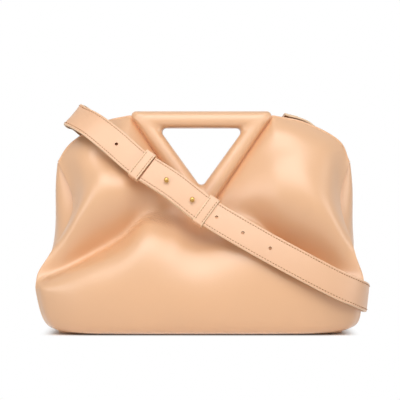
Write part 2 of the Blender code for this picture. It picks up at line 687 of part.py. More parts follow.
def build_zip_slider():
    """Slider with two plates and a post through the slit, and the leather pull that hangs from it."""
    x, axis = SLIDER_X, -PULL_AXIS_BEHIND
    front_back, back_front = -TEETH_FRONT + GAP, -TEETH_BACK - GAP
    front, back = front_back + SLIDER_PLATE, back_front - SLIDER_PLATE
    high, post = SLIDER_HALF_HEIGHT, SLIDER_POST_HALF_HEIGHT
    upper = ((front, high), (front_back, high), (front_back, post),
             (back_front, post), (back_front, high), (back, high))
    lower = [(depth, -z) for depth, z in reversed(upper)]
    slider = bmesh.new()
    extruded_profile(slider, [(depth, ZIP_Z + z) for depth, z in (*upper, *lower)],
                     (x - SLIDER_HALF_LENGTH, x + SLIDER_HALF_LENGTH))
    body = finished("zip_slider", slider, GOLD, 0.3, 1.0)

    # bail: two ears and a round pin, joined to the front plate
    ears = bmesh.new()
    for centre in (x - EAR_OFFSET, x + EAR_OFFSET):
        box(ears, (centre - EAR_THICKNESS / 2, front - GAP, ZIP_Z - EAR_HALF_HEIGHT),
            (centre + EAR_THICKNESS / 2, axis + EAR_REACH, ZIP_Z + EAR_HALF_HEIGHT))
    cut(body, "zip_bail_ears", ears, "UNION")
    pin = bmesh.new()
    round_bar(pin, x, axis, ZIP_Z, PIN_RADIUS, EAR_OFFSET)
    cut(body, "zip_bail_pin", pin, "UNION")
    set_origin(body, place(x, -POCKET_FRONT, ZIP_Z))

    pull = bmesh.new()
    right = [(x + a, ZIP_Z + b) for a, b in PULL_OUTLINE]
    left = [(x - a, ZIP_Z + b) for a, b in reversed(PULL_OUTLINE)]
    extruded_outline(pull, right + left, (axis - PULL_HALF_THICKNESS, axis + PULL_HALF_THICKNESS))
    tab = finished("zip_pull", pull, PALE_LEATHER, 0.45)
    eye = bmesh.new()
    round_bar(eye, x, axis, ZIP_Z, EYE_RADIUS, EYE_HALF_LENGTH)
    cut(tab, "zip_pull_eye", eye)
    set_origin(tab, place(x, axis, ZIP_Z))


def carry(parent, location, names):
    """Hang pieces on a parent at a location, without moving them."""
    for name in names:
        piece = bpy.data.objects[name]
        piece.parent = parent
        piece.matrix_parent_inverse = Matrix.Translation(-location)


def hang_moving_pieces():
    """Give each half an empty on its hinge, and hang the smaller moving pieces on what carries them."""
    moving = {
        "front": ["strap_left", "strap_right", *STUD_STATIONS, *KEEPER_STATIONS],
        "back": ["strap_anchor_left", "strap_anchor_right", "pocket_bag", "pocket_header", "zip_tape_lower",
                 "zip_tape_upper", "zip_teeth_lower", "zip_teeth_upper", "zip_slider"],
    }
    for side, sign in (("front", 1), ("back", -1)):
        hinge = bpy.data.objects.new(f"{side}_hinge", None)
        hinge.location = place(0, sign * HINGE_DEPTH, 0)
        bpy.context.collection.objects.link(hinge)
        shell = [f"{side}_{piece}" for piece in SHELL_PIECES]
        carry(hinge, hinge.location, shell + moving[side])
    slider = bpy.data.objects["zip_slider"]
    carry(slider, slider.location, ["zip_pull"])


def main():
    for thing in list(bpy.data.objects):
        bpy.data.objects.remove(thing)
    build_base()
    build_panels()
    build_gussets()
    build_handles()
    build_strap()
    build_keepers()
    build_pocket_bag()
    build_zip()
    build_zip_slider()
    hang_moving_pieces()


main()
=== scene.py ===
import math

import bpy
import numpy as np
from mathutils import Matrix, Vector


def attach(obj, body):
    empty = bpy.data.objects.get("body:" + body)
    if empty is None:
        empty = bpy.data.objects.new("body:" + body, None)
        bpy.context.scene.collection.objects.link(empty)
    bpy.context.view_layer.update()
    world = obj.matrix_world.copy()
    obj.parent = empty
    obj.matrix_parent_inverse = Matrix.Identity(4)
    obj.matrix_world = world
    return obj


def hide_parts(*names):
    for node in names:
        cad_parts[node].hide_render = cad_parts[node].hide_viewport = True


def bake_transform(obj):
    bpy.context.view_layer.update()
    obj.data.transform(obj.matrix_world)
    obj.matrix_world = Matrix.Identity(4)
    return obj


bl_info = {
    "name": "Triangle Handle Bag",
    "version": (1, 0, 0),
    "blender": (4, 5, 0),
    "location": "View3D > Sidebar > Bag",
    "description": "Dresses a soft leather bag with triangular handles: leather, stitching, brass and lining",
    "category": "Add Mesh",
}

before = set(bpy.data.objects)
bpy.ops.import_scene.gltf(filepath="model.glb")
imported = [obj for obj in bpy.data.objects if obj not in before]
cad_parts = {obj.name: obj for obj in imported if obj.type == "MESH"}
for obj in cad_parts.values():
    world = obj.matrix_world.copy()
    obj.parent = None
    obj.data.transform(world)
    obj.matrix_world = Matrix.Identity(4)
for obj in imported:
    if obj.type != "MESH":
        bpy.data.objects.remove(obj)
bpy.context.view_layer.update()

MM = 0.001

# The part's own named lines, repeated in millimetres as (x, depth, z), depth towards the front
LEAN_MIDDLE = 1.5
LEAN_SIDE = 2.7
LEAN_BODY_Z = (60.0, 100.0)
LEAN_SHOULDER = 4.0
LEAN_SHOULDER_Z = (180.0, 215.0)
NOTCH_HALF_LENGTH = 76.5
HALF_LENGTH = 150.0
PANEL_LINES = (
    # base seam, rolled hem, foot of the belly
    ((0, 60, 2), (30, 60, 2), (58, 60, 2), (86, 59, 2), (114, 56, 2), (137, 49, 2.4), (150, 38, 3.2)),
    ((0, 76, 1), (31, 76, 1), (60, 76, 1), (90, 75, 1), (120, 71, 1), (146, 60, 2.4), (160, 45, 6)),
    ((0, 85, 8), (32, 85, 8), (62, 85, 8), (93, 83, 8.5), (126, 78, 10), (156, 65, 13), (167.5, 50, 19)),
    # belly, its upper swell and the slope that runs back to the crease
    ((0, 88, 32), (32, 88, 32), (63, 87, 33), (96, 85, 35), (132, 79, 38), (161, 67, 41), (172, 54, 44)),
    ((0, 82, 66), (31, 83, 67), (61, 84, 69), (93, 83, 64), (129, 78, 58), (161, 68, 49), (172.5, 56.5, 49)),
    ((0, 64, 92), (30, 70, 98), (58, 73, 105), (88, 70, 88), (124, 66, 72), (157.5, 62.5, 57.5),
     (171.5, 56, 57)),
    # crease from the notch to the bottom corner, and the tuck above it
    ((0, 44, 106), (28, 46, 117), (57, 42, 122), (85, 33, 99), (119, 33, 80), (150, 46.5, 65.5),
     (169, 53.5, 64)),
    ((0, 36, 110), (27, 36, 125), (56, 38, 131), (84, 45, 116), (114, 49, 103), (142.5, 50, 90),
     (162, 48.5, 80)),
    # shoulder: underside, front and top
    ((0, 32, 112.5), (26, 31, 134), (54, 43, 151), (82, 58, 152), (110, 61, 146), (133, 56, 128),
     (153.5, 42, 104)),
    ((0, 30, 114.5), (26, 29.5, 143), (53, 35, 171), (80, 42, 185), (107, 46, 178), (130, 43, 158),
     (147, 31, 130)),
    ((0, 28.5, 116), (26, 25.5, 151), (52, 24, 185), (77, 26, 213), (106, 29, 208), (134, 29, 189),
     (146, 19, 153)),
    # mouth edge: along the notch to the handle's corner, then over the shoulder
    ((0, 28, 117), (26, 21.7, 155.3), (52, 15.2, 193.6), (76.5, 9, 229.6), (108.5, 8, 222.2),
     (143, 7, 202), (156.5, 5, 180)),
)
LAST_ROW = len(PANEL_LINES) - 1
LEFT_PINCH = 8.5
RIGHT_PINCH = 2.0
PINCH_ROW = 9.0
PINCH_REACH = 2.0
RIGHT_FOOT = 3.5
RIGHT_FOOT_ROW = 1.2
RIGHT_FOOT_REACH = 1.6
RIGHT_DROP = 12.0
RIGHT_DROP_ROW = 6.6
RIGHT_DROP_REACH = 3.4
RIGHT_DROP_COLUMN = 3.0
CORNER_COLUMN = 3
SIDE_COLUMN = 6
# Soft dents: middle (x, z), turn in degrees, reach along and across it, depth
DENTS = (
    (-99.0, 187.0, -40.0, 34.0, 13.0, 9.0),
    (80.0, 200.0, 20.0, 24.0, 15.0, 4.5),
)
# Rows under the mouth edge, and columns from the middle, over which the dents fade
DENT_FADE_ROWS = (0.4, 2.2)
DENT_FADE_COLUMNS = (4.6, 5.8)
GUSSET_MIDDLE = ((148, 3), (155, 5), (160, 12), (164, 30), (164, 52), (162, 66), (161, 78),
                 (161.5, 92), (160.5, 112), (162, 135), (161.5, 157), (156.8, 179.5))
GUSSET_TUCK = ((0.5, 4), (1, 6), (1.5, 7), (2, 8), (3, 9), (4, 9),
               (5, 9), (6, 9), (6.5, 9), (6, 8), (4, 5), (0.5, 1))
HANDLE_X = LEAN_MIDDLE
HANDLE_OUTER = ((-79.6, 235), (79.6, 235), (0, 118))
HANDLE_OUTER_RADII = (5.0, 5.0, 5.0)
HANDLE_HOLE = ((-46.5, 217), (46.5, 217), (0, 152.5))
HANDLE_HOLE_RADII = (4.5, 4.5, 5.0)
HANDLE_TOP_Z = 235.0
HANDLE_LEAN = 0.17
HANDLE_INNER_DEPTH = 0.4
STRAP_ROUTE = (
    # behind the left shoulder and round the upper fold
    ((-66, -46, 192), (-84, -56, 168)), ((-98, -36, 216), (-112, -46, 194)),
    ((-122, -18, 237), (-135, -24, 216)), ((-130.5, -8, 239.5), (-143.5, 1, 222)),
    ((-127.5, 6, 239.5), (-141, 19, 222)),
    # across the front
    ((-109, 25, 231), (-121.5, 36, 210.5)), ((-84, 41, 212.5), (-99.5, 46, 192.5)),
    ((-56, 50, 190), (-71.5, 57, 167.5)), ((-20, 59, 166.5), (-35, 66, 143.5)),
    ((14, 67, 140.5), (-1, 74, 117.5)), ((64, 77, 112), (48, 85, 87)),
    ((113, 81, 87), (100, 90, 57)), ((148, 77, 68), (137.5, 86, 38)),
    # round the lower right corner
    ((168, 66, 57.5), (160, 74, 29.5)), ((175.5, 45, 52), (172, 49, 24)),
    ((177, 20, 50), (172, 20, 21)),
    ((176.5, -12, 50), (172, -14, 21)), ((176, -47, 56), (174, -55, 30)),
    # up the back to the handle's corner
    ((168, -69, 75), (158, -79, 51)), ((162, -61, 101), (138, -72, 92)),
    ((157, -56, 134), (131, -67, 126)),
    ((152, -46, 168), (126, -61, 158)), ((139, -32, 197), (117, -54, 180)),
    ((121, -13, 223.5), (106, -38, 203.5)), ((93, -5, 233.5), (80, -31, 212)),
)
STRAP_END = len(STRAP_ROUTE) - 1
STRAP_GAP = 0.15
STUD_STATIONS = {"strap_stud_upper": 7.8, "strap_stud_lower": 8.6}
EMPTY_HOLES_LEFT = (6.15,)
EMPTY_HOLES_RIGHT = (9.24, 9.77, 10.31)
KEEPER_STATIONS = {"strap_keeper_upper": 7.1, "strap_keeper_lower": 9.0}

# Reaches of the strap's bends, at its upper fold and round its lower corner
TOP_FOLD_REACH = 9.0
CORNER_WRAP_REACH = 40.0


def length_property(name, millimetres, description):
    return bpy.props.FloatProperty(name=name, description=description, default=millimetres * MM,
                                   unit="LENGTH")


def colour_property(name, colour, description):
    return bpy.props.FloatVectorProperty(name=name, description=description, default=colour,
                                         subtype="COLOR", size=3)


class BagShape(bpy.types.PropertyGroup):
    """Sizes of the leather work."""
    panel_thickness: length_property("Panel leather", 2.0, "Thickness of the two leather halves")
    gusset_thickness: length_property("Gusset leather", 1.4, "Thickness of the folded sides")
    lining_thickness: length_property("Lining", 0.8, "Thickness of the suede lining")
    lining_slack: length_property("Lining slack", 2.2, "Room between leather and lining")
    piping_radius: length_property("Rolled edge", 1.3, "Radius of the rolled edge round the mouth")
    strap_width: length_property("Strap width", 30.0, "Width of the shoulder strap")
    strap_thickness: length_property("Strap leather", 2.8, "Thickness of the shoulder strap")
    stitch_pitch: length_property("Stitch pitch", 3.1, "Distance from one stitch to the next")
    stitch_inset: length_property("Stitch inset", 2.6, "Distance from the strap's edge to its seam")


class BagColours(bpy.types.PropertyGroup):
    """Colours of the bag's materials, as linear values."""
    leather: colour_property("Leather", (0.84, 0.485, 0.262), "Smooth calf leather of the body")
    strap: colour_property("Strap", (0.85, 0.495, 0.285), "Leather of the shoulder strap")
    # The cut edges are painted; this colour is also paler as a painted highlight along their rolled edges
    edge: colour_property("Painted edge", (0.92, 0.65, 0.41), "Paint on the cut edges of the strap")
    # The thread is darker than the leather, and darker still as painted shade of the stitch holes
    thread: colour_property("Thread", (0.4, 0.19, 0.08), "Sewing thread")
    suede: colour_property("Suede", (0.42, 0.2, 0.085), "Lining and underside of the strap")
    gold: colour_property("Brass", (0.56, 0.35, 0.11), "Studs and zip")
    tape: colour_property("Zip tape", (0.3, 0.17, 0.09), "Woven tape of the zip")


# Shapes on the panels' fold lines

def smooth_step(value, low, high):
    share = np.clip((value - low) / (high - low), 0.0, 1.0)
    return share * share * (3.0 - 2.0 * share)


def hump(value, centre, reach):
    """Smooth rise to 1 at a centre, from 0 at a reach to either side."""
    return smooth_step(1.0 - np.abs(value - centre) / reach, 0.0, 1.0)


def spline(points, at, passing):
    """Places on a cubic spline at several stations. It passes through its points, or only follows them."""
    points = np.asarray(points, float)
    at = np.asarray(at, float)
    padded = np.concatenate([2 * points[:1] - points[1:2], points, 2 * points[-1:] - points[-2:-1]])
    index = np.clip(np.floor(at).astype(int), 0, len(points) - 2)
    t = (at - index).reshape(-1, *[1] * (points.ndim - 1))
    a, b, c, d = (padded[index + i] for i in range(4))
    if passing:
        square, cube = 2 * a - 5 * b + 4 * c - d, 3 * b - a - 3 * c + d
        return 0.5 * (2 * b + (c - a) * t + square * t ** 2 + cube * t ** 3)
    return (a * (1 - t) ** 3 + b * (3 * t ** 3 - 6 * t ** 2 + 4)
            + c * (1 + 3 * t + 3 * t ** 2 - 3 * t ** 3) + d * t ** 3) / 6


def leaned(x, z):
    """x moved by the soft body's sideways lean."""
    side = smooth_step(np.abs(x), NOTCH_HALF_LENGTH, HALF_LENGTH)
    body = smooth_step(z, *LEAN_BODY_Z) * (LEAN_MIDDLE + LEAN_SIDE * side)
    return x + body + smooth_step(z, *LEAN_SHOULDER_Z) * LEAN_SHOULDER * side


def fold_line(line, columns):
    """Places on one fold line at the columns, which count from the middle to either side."""
    if line is not PANEL_LINES[-1]:
        mirrored = [(-x, depth, z) for x, depth, z in reversed(line[1:])]
        return spline(mirrored + list(line), columns + SIDE_COLUMN, passing=True)
    away = np.abs(columns)
    straight = np.stack([np.interp(away, range(CORNER_COLUMN + 1), part)
                         for part in zip(*line[:CORNER_COLUMN + 1])], axis=1)
    curved = spline(line[CORNER_COLUMN:], np.maximum(away - CORNER_COLUMN, 0), passing=True)
    points = np.where((away <= CORNER_COLUMN)[:, None], straight, curved)
    points[:, 0] = np.copysign(points[:, 0], columns)
    return points


def dent_depth(points, column, row):
    """How far the soft leather is pushed in by hand or strap, in millimetres."""
    inside = (smooth_step(LAST_ROW - row, *DENT_FADE_ROWS)
              * (1.0 - smooth_step(np.abs(column), *DENT_FADE_COLUMNS)))
    total = np.zeros(row.shape)
    for x, z, turn, long_reach, short_reach, depth in DENTS:
        right, up = points[..., 0] - x, points[..., 2] - z
        cosine, sine = math.cos(math.radians(turn)), math.sin(math.radians(turn))
        along, across = right * cosine + up * sine, up * cosine - right * sine
        total += depth * np.exp(-(along / long_reach) ** 2 - (across / short_reach) ** 2)
    return total * inside


def panel_surface(columns, rows):
    """Outer face of the front panel as (row, column, xyz) in millimetres, y to the front as depth."""
    lines = np.stack([fold_line(line, columns) for line in PANEL_LINES])
    points = spline(lines, rows, passing=False)
    column, row = np.meshgrid(columns, rows)
    left = smooth_step(-column, CORNER_COLUMN, SIDE_COLUMN)
    right = smooth_step(column, CORNER_COLUMN, SIDE_COLUMN)
    points[..., 0] += (LEFT_PINCH * left - RIGHT_PINCH * right) * hump(row, PINCH_ROW, PINCH_REACH)
    points[..., 0] += RIGHT_FOOT * right * hump(row, RIGHT_FOOT_ROW, RIGHT_FOOT_REACH)
    at_middle = hump(column, RIGHT_DROP_COLUMN, RIGHT_DROP_COLUMN)
    points[..., 2] -= RIGHT_DROP * at_middle * hump(row, RIGHT_DROP_ROW, RIGHT_DROP_REACH)
    points[..., 0] = leaned(points[..., 0], points[..., 2])
    points[..., 1] -= dent_depth(points, column, row)
    return points


def surface_normals(points):
    """Outward unit directions of a grid of places on the front half."""
    along_x = np.gradient(points, axis=1)
    along_z = np.gradient(points, axis=0)
    normals = np.cross(along_z, along_x)
    return normals / np.linalg.norm(normals, axis=-1, keepdims=True)


def spaced(low, high, cells):
    return np.linspace(low, high, cells + 1)


# Meshes

def deselect():
    bpy.ops.object.select_all(action="DESELECT")


def select_only(piece):
    deselect()
    piece.select_set(True)
    bpy.context.view_layer.objects.active = piece


def to_metres(points, sign=1):
    """Millimetre places (x, depth, z) as metres in the bag's frame; sign -1 mirrors them to the back."""
    points = np.asarray(points, float).reshape(-1, 3)
    return points * (MM, -sign * MM, MM)


def new_piece(name, verts, faces, material):
    mesh = bpy.data.meshes.new(name)
    mesh.from_pydata([tuple(v) for v in verts], [], faces)
    mesh.validate()
    piece = bpy.data.objects.new(name, mesh)
    bpy.context.scene.collection.objects.link(piece)
    mesh.materials.append(material)
    return piece


def grid_faces(rows, columns, flip, closed=False):
    """Faces of a grid of rows by columns of vertices; closed joins its last column to its first."""
    faces = []
    for r in range(rows - 1):
        for c in range(columns if closed else columns - 1):
            d = (c + 1) % columns
            quad = (r * columns + c, r * columns + d, (r + 1) * columns + d, (r + 1) * columns + c)
            faces.append(quad[::-1] if flip else quad)
    return faces


def set_uv(piece, coordinates):
    """A UV map in metres over the leather, from one pair per vertex."""
    layer = piece.data.uv_layers.new(name="leather")
    index = np.zeros(len(piece.data.loops), np.int32)
    piece.data.loops.foreach_get("vertex_index", index)
    layer.data.foreach_set("uv", np.asarray(coordinates, np.float32)[index].ravel())


def set_shade(piece, name, values):
    """A number per vertex that the material reads."""
    attribute = piece.data.attributes.new(name, "FLOAT", "POINT")
    attribute.data.foreach_set("value", np.asarray(values, np.float32).ravel())


# Turn of the surface, in degrees, from which an edge is rounded
SHEET_EDGE_ANGLE = 60
PLATE_EDGE_ANGLE = 35


def apply_modifier(piece, kind, **settings):
    select_only(piece)
    modifier = piece.modifiers.new(kind.lower(), kind)
    for key, value in settings.items():
        setattr(modifier, key, value)
    bpy.ops.object.modifier_apply(modifier=modifier.name)


def round_edges(piece, width, angle):
    apply_modifier(piece, "BEVEL", width=width, segments=3, limit_method="ANGLE",
                   angle_limit=math.radians(angle))


def close_normals(piece):
    """Turn a closed mesh's faces outwards."""
    select_only(piece)
    bpy.ops.object.mode_set(mode="EDIT")
    bpy.ops.mesh.select_all(action="SELECT")
    bpy.ops.mesh.normals_make_consistent(inside=False)
    bpy.ops.object.mode_set(mode="OBJECT")


def smooth(piece, angle=50.0):
    select_only(piece)
    bpy.ops.object.shade_smooth_by_angle(angle=math.radians(angle))


def sheet_piece(name, points, sign, thickness, material, grow=-1.0, round_edge=0.0):
    """Leather sheet over a grid of places on the front half, or mirrored to the back."""
    rows, columns = points.shape[:2]
    piece = new_piece(name, to_metres(points, sign), grid_faces(rows, columns, sign < 0), material)
    apply_modifier(piece, "SOLIDIFY", thickness=thickness, offset=grow)
    if round_edge:
        round_edges(piece, round_edge, SHEET_EDGE_ANGLE)
    smooth(piece)
    return piece


def prism_piece(name, outline, low, high, axis, edge, material):
    """Plate over a closed outline, between two places along an axis (1 depth, 2 height), with round edges."""
    outline = np.asarray(outline, float)
    count = len(outline)
    verts = [np.insert(outline, axis, level, axis=1) for level in (low, high)]
    faces = grid_faces(2, count, False, closed=True)
    faces += [tuple(range(count)), tuple(range(2 * count - 1, count - 1, -1))]
    piece = new_piece(name, to_metres(np.concatenate(verts)), faces, material)
    close_normals(piece)
    round_edges(piece, edge, PLATE_EDGE_ANGLE)
    smooth(piece)
    return piece


def bend_with_half(piece):
    """Bake the piece's placement into its mesh."""
    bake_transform(piece)


# Materials

def add_node(tree, kind, inputs=None, **settings):
    node = tree.nodes.new(kind)
    for key, value in settings.items():
        setattr(node, key, value)
    for key, value in (inputs or {}).items():
        if isinstance(value, bpy.types.NodeSocket):
            tree.links.new(value, node.inputs[key])
        else:
            node.inputs[key].default_value = value
    return node


def math_node(tree, operation, a, b=0.0, c=0.0):
    return add_node(tree, "ShaderNodeMath", {0: a, 1: b, 2: c}, operation=operation).outputs[0]


def mix_colours(tree, factor, a, b):
    """Blend of two colours, which the mix node takes at its sockets 6 and 7."""
    return add_node(tree, "ShaderNodeMix", {0: factor, 6: a, 7: b}, data_type="RGBA").outputs[2]


def make_group(name, inputs, outputs):
    """Empty node group with named inputs (name, kind, default) and outputs (name, kind)."""
    group = bpy.data.node_groups.new(name, "ShaderNodeTree")
    for title, kind, default in inputs:
        socket = group.interface.new_socket(name=title, in_out="INPUT", socket_type=kind)
        if default is not None:
            socket.default_value = default
    for title, kind in outputs:
        group.interface.new_socket(name=title, in_out="OUTPUT", socket_type=kind)
    return group, group.nodes.new("NodeGroupInput"), group.nodes.new("NodeGroupOutput")


def group_node(tree, group, inputs):
    return add_node(tree, "ShaderNodeGroup", inputs, node_tree=group)


def tone_between(tree, factor, colour, dark, pale):
    """Colour between a darker and a paler shade of one tone."""
    return mix_colours(tree, factor, scaled(colour, dark), scaled(colour, pale))


def scaled(colour, factor):
    return (*[min(1.0, part * factor) for part in colour], 1.0)


def object_place(tree):
    return add_node(tree, "ShaderNodeTexCoord").outputs["Object"]


def noise(tree, place, scale, detail, **inputs):
    return add_node(tree, "ShaderNodeTexNoise",
                    {"Vector": place, "Scale": scale, "Detail": detail, **inputs}).outputs["Fac"]


def grain_group():
    """Fine pebble of smooth leather, and the slow drift of its tone."""
    name = "leather_grain"
    if name in bpy.data.node_groups:
        return bpy.data.node_groups[name]
    group, given, out = make_group(
        name,
        [("Vector", "NodeSocketVector", None), ("Cells per metre", "NodeSocketFloat", 1100.0),
         ("Drift per metre", "NodeSocketFloat", 14.0)],
        [("Height", "NodeSocketFloat"), ("Tone", "NodeSocketFloat")])
    place, cells_per_metre = given.outputs["Vector"], given.outputs["Cells per metre"]
    cells = add_node(group, "ShaderNodeTexVoronoi", {"Vector": place, "Scale": cells_per_metre},
                     feature="SMOOTH_F1")
    pores = noise(group, place, cells_per_metre, detail=3.0, Roughness=0.6)
    drift = noise(group, place, given.outputs["Drift per metre"], detail=2.0)
    height = math_node(group, "MULTIPLY_ADD", cells.outputs["Distance"], 0.7, pores)
    group.links.new(height, out.inputs["Height"])
    group.links.new(drift, out.inputs["Tone"])
    return group


def crease_group():
    """Short fine wrinkles along a fold, from a UV in metres and a mask."""
    name = "crease_wrinkles"
    if name in bpy.data.node_groups:
        return bpy.data.node_groups[name]
    group, given, out = make_group(
        name,
        [("Vector", "NodeSocketVector", None), ("Mask", "NodeSocketFloat", 0.0)],
        [("Height", "NodeSocketFloat")])
    stretched = add_node(group, "ShaderNodeMapping",
                         {"Vector": given.outputs["Vector"], "Rotation": (0.0, 0.0, math.radians(18)),
                          "Scale": (220.0, 560.0, 1.0)})
    lines = noise(group, stretched.outputs["Vector"], scale=1.0, detail=3.0, Distortion=0.6)
    height = math_node(group, "MULTIPLY", lines, given.outputs["Mask"])
    group.links.new(height, out.inputs["Height"])
    return group


def new_material(name, roughness, metallic=0.0, **sockets):
    material = bpy.data.materials.new(name)
    material.use_nodes = True
    shader = material.node_tree.nodes["Principled BSDF"]
    shader.inputs["Roughness"].default_value = roughness
    shader.inputs["Metallic"].default_value = metallic
    for key, value in sockets.items():
        shader.inputs[key.replace("_", " ")].default_value = value
    return material, material.node_tree, shader


def material_called(name):
    """The function that follows builds this material once; later calls get it again."""
    def decorate(build):
        def fetch(*settings):
            return bpy.data.materials.get(name) or build(name, *settings)
        return fetch
    return decorate


def wire_relief(tree, shader, height, strength, relief):
    """Bump on a surface and on the clear finish over it."""
    bump = add_node(tree, "ShaderNodeBump", {"Strength": strength, "Distance": relief, "Height": height})
    for socket in ("Normal", "Coat Normal"):
        tree.links.new(bump.outputs["Normal"], shader.inputs[socket])


# Clear finish over the dyed leather
FINISH = {"Specular_IOR_Level": 0.8, "Coat_Weight": 0.6, "Coat_Roughness": 0.46}
CALF_ROUGHNESS = 0.36
CALF_GRAIN = 0.12
STRAP_ROUGHNESS = 0.46
STRAP_GRAIN = 0.16
CALF_TONES = (0.965, 1.03)
GRAIN_RELIEF = 0.0004
GLOSS_DRIFT = 0.08
# Wrinkles along a fold, and painted shade that darkens the leather in it
WRINKLE_HEIGHT = 4.5
CREASE_PAINTED_SHADE = 0.5
CREASE_PAINTED_SHADE_TINT = (0.86, 0.74, 0.62)


def leather_material(name, colour, roughness, grain_depth, folds=False, edge=None):
    """Smooth leather with grain; folds adds crease wrinkles and painted crease shade from the crease
    attribute, edge its painted cut-edge colour, made paler as a painted highlight.
    """
    material, tree, shader = new_material(name, roughness, **FINISH)
    grain = group_node(tree, grain_group(), {"Vector": object_place(tree)})
    tone = tone_between(tree, grain.outputs["Tone"], colour, *CALF_TONES)
    height = math_node(tree, "MULTIPLY", grain.outputs["Height"], grain_depth)
    if folds:
        shade = add_node(tree, "ShaderNodeAttribute", attribute_name="crease").outputs["Fac"]
        uv = add_node(tree, "ShaderNodeUVMap", uv_map="leather")
        wrinkles = group_node(tree, crease_group(), {"Vector": uv.outputs["UV"], "Mask": shade})
        height = math_node(tree, "MULTIPLY_ADD", wrinkles.outputs["Height"], WRINKLE_HEIGHT, height)
        # painted shade: the leather darkened and tinted along the crease, where the fold's shade falls
        crease_painted_shade = math_node(tree, "MULTIPLY", shade, CREASE_PAINTED_SHADE)
        tone = mix_colours(tree, crease_painted_shade, tone, (*np.multiply(colour, CREASE_PAINTED_SHADE_TINT), 1.0))
    if edge:
        # pale cut edges: their painted colour, lightened as a painted highlight
        edge_paint_and_highlight = add_node(tree, "ShaderNodeAttribute", attribute_name="edge")
        tone = mix_colours(tree, edge_paint_and_highlight.outputs["Fac"], tone, (*edge, 1.0))
    gloss = math_node(tree, "MULTIPLY_ADD", grain.outputs["Tone"], GLOSS_DRIFT, roughness - GLOSS_DRIFT / 2)
    wire_relief(tree, shader, height, strength=1.0, relief=GRAIN_RELIEF)
    tree.links.new(tone, shader.inputs["Base Color"])
    tree.links.new(gloss, shader.inputs["Roughness"])
    return material


@material_called("body_calf")
def body_leather(name, colours):
    return leather_material(name, colours.leather, CALF_ROUGHNESS, CALF_GRAIN, folds=True)


@material_called("trim_calf")
def trim_leather(name, colours):
    return leather_material(name, colours.leather, CALF_ROUGHNESS, CALF_GRAIN)


@material_called("strap_calf")
def strap_leather(name, colours):
    return leather_material(name, colours.strap, STRAP_ROUGHNESS, STRAP_GRAIN, edge=tuple(colours.edge))


@material_called("suede_nap")
def suede_material(name, colours):
    """Brushed nap with patches laid one way and the other."""
    material, tree, shader = new_material(name, roughness=0.95, Sheen_Weight=0.35, Sheen_Roughness=0.5)
    place = object_place(tree)
    patches = noise(tree, place, scale=45.0, detail=6.0)
    tone = tone_between(tree, patches, colours.suede, dark=0.8, pale=1.25)
    fibres = noise(tree, place, scale=2600.0, detail=2.0)
    wire_relief(tree, shader, fibres, strength=0.7, relief=0.0005)
    tree.links.new(tone, shader.inputs["Base Color"])
    return material


@material_called("polished_brass")
def brass_material(name, colours):
    """Polished brass with faint handling marks."""
    material, tree, shader = new_material(name, roughness=0.2, metallic=1.0)
    marks = noise(tree, object_place(tree), scale=700.0, detail=4.0)
    gloss = math_node(tree, "MULTIPLY_ADD", marks, 0.2, 0.12)
    tone = tone_between(tree, marks, colours.gold, dark=0.85, pale=1.1)
    tree.links.new(tone, shader.inputs["Base Color"])
    tree.links.new(gloss, shader.inputs["Roughness"])
    return material


def plain_material(name, colour, roughness, scale, relief, metallic=0.0):
    """Moulded, cast or pressed surface with a fine texture."""
    material, tree, shader = new_material(name, roughness, metallic)
    grit = noise(tree, object_place(tree), scale, detail=3.0)
    wire_relief(tree, shader, grit, strength=0.6, relief=relief)
    tree.links.new(tone_between(tree, grit, colour, dark=0.75, pale=1.2), shader.inputs["Base Color"])
    return material


@material_called("waxed_thread")
def thread_material(name, colours):
    # thread colour: darker thread, deepened as painted shade in the stitch holes
    return plain_material(name, colours.thread, roughness=0.7, scale=4000.0, relief=0.0001)


@material_called("punched_wall")
def punched_material(name):
    """Walls of a punched hole in raw leather, near black as painted shade for the hole's dark inside."""
    return plain_material(name, (0.06, 0.03, 0.015), roughness=0.9, scale=3000.0, relief=0.0001)


@material_called("zip_weave")
def weave_material(name, colours):
    """Woven zip tape."""
    material, tree, shader = new_material(name, roughness=0.85)
    place = object_place(tree)
    warp, weft = (add_node(tree, "ShaderNodeTexWave", {"Vector": place, "Scale": 260.0, "Distortion": 1.0},
                           bands_direction=way).outputs["Fac"] for way in ("X", "Z"))
    height = math_node(tree, "MULTIPLY", warp, weft)
    wire_relief(tree, shader, height, strength=0.8, relief=0.0003)
    tone = tone_between(tree, height, colours.tape, dark=0.7, pale=1.3)
    tree.links.new(tone, shader.inputs["Base Color"])
    return material


def dress_node(name, material):
    """Give a CAD node that stays in sight its finish."""
    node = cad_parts[name]
    node.data.materials.clear()
    node.data.materials.append(material)


# Pieces

HALVES = (("front", 1), ("back", -1))
PANEL_COLUMN_CELLS = 168
PANEL_ROW_CELLS = 198
PANEL_EDGE = 0.6 * MM
# Metres of leather in one column and in one row
UV_PER_COLUMN = 0.028
UV_PER_ROW = 0.022
# Columns away from the middle, and the rows at which the long crease crosses them
CREASE_ROWS = ((0.0, 1.5, 2.0, 3.0, 4.0, 5.0, 6.0), (5.9, 5.9, 5.9, 5.75, 5.5, 5.25, 5.1))
# Columns over which it starts and ends
CREASE_START = (0.7, 1.8)
CREASE_END = (5.0, 5.9)
CREASE_DEPTH = 0.9
CREASE_OFFSET = 3.0
CREASE_WIDTH = 7.0
CREASE_MASK_OFFSET = 1.0
CREASE_MASK_WIDTH = 8.0
LINING_COLUMN_CELLS = 72
LINING_ROW_CELLS = 60
LINING_COLUMNS = (0.5 - SIDE_COLUMN, SIDE_COLUMN - 0.5)
LINING_ROWS = (1.0, LAST_ROW - 0.5)
LINING_EDGE = 0.2 * MM


def bell(value, middle, width):
    return np.exp(-((value - middle) / width) ** 2)


def crease_place(points, column, row):
    """Height in millimetres over the long crease at each place, and how far the crease reaches there."""
    away = np.abs(column)
    rise = np.linalg.norm(np.gradient(points, axis=0), axis=-1) / np.gradient(row, axis=0)
    above = (row - np.interp(away, *CREASE_ROWS)) * rise
    reach = smooth_step(away, *CREASE_START) * (1.0 - smooth_step(away, *CREASE_END))
    return above, reach


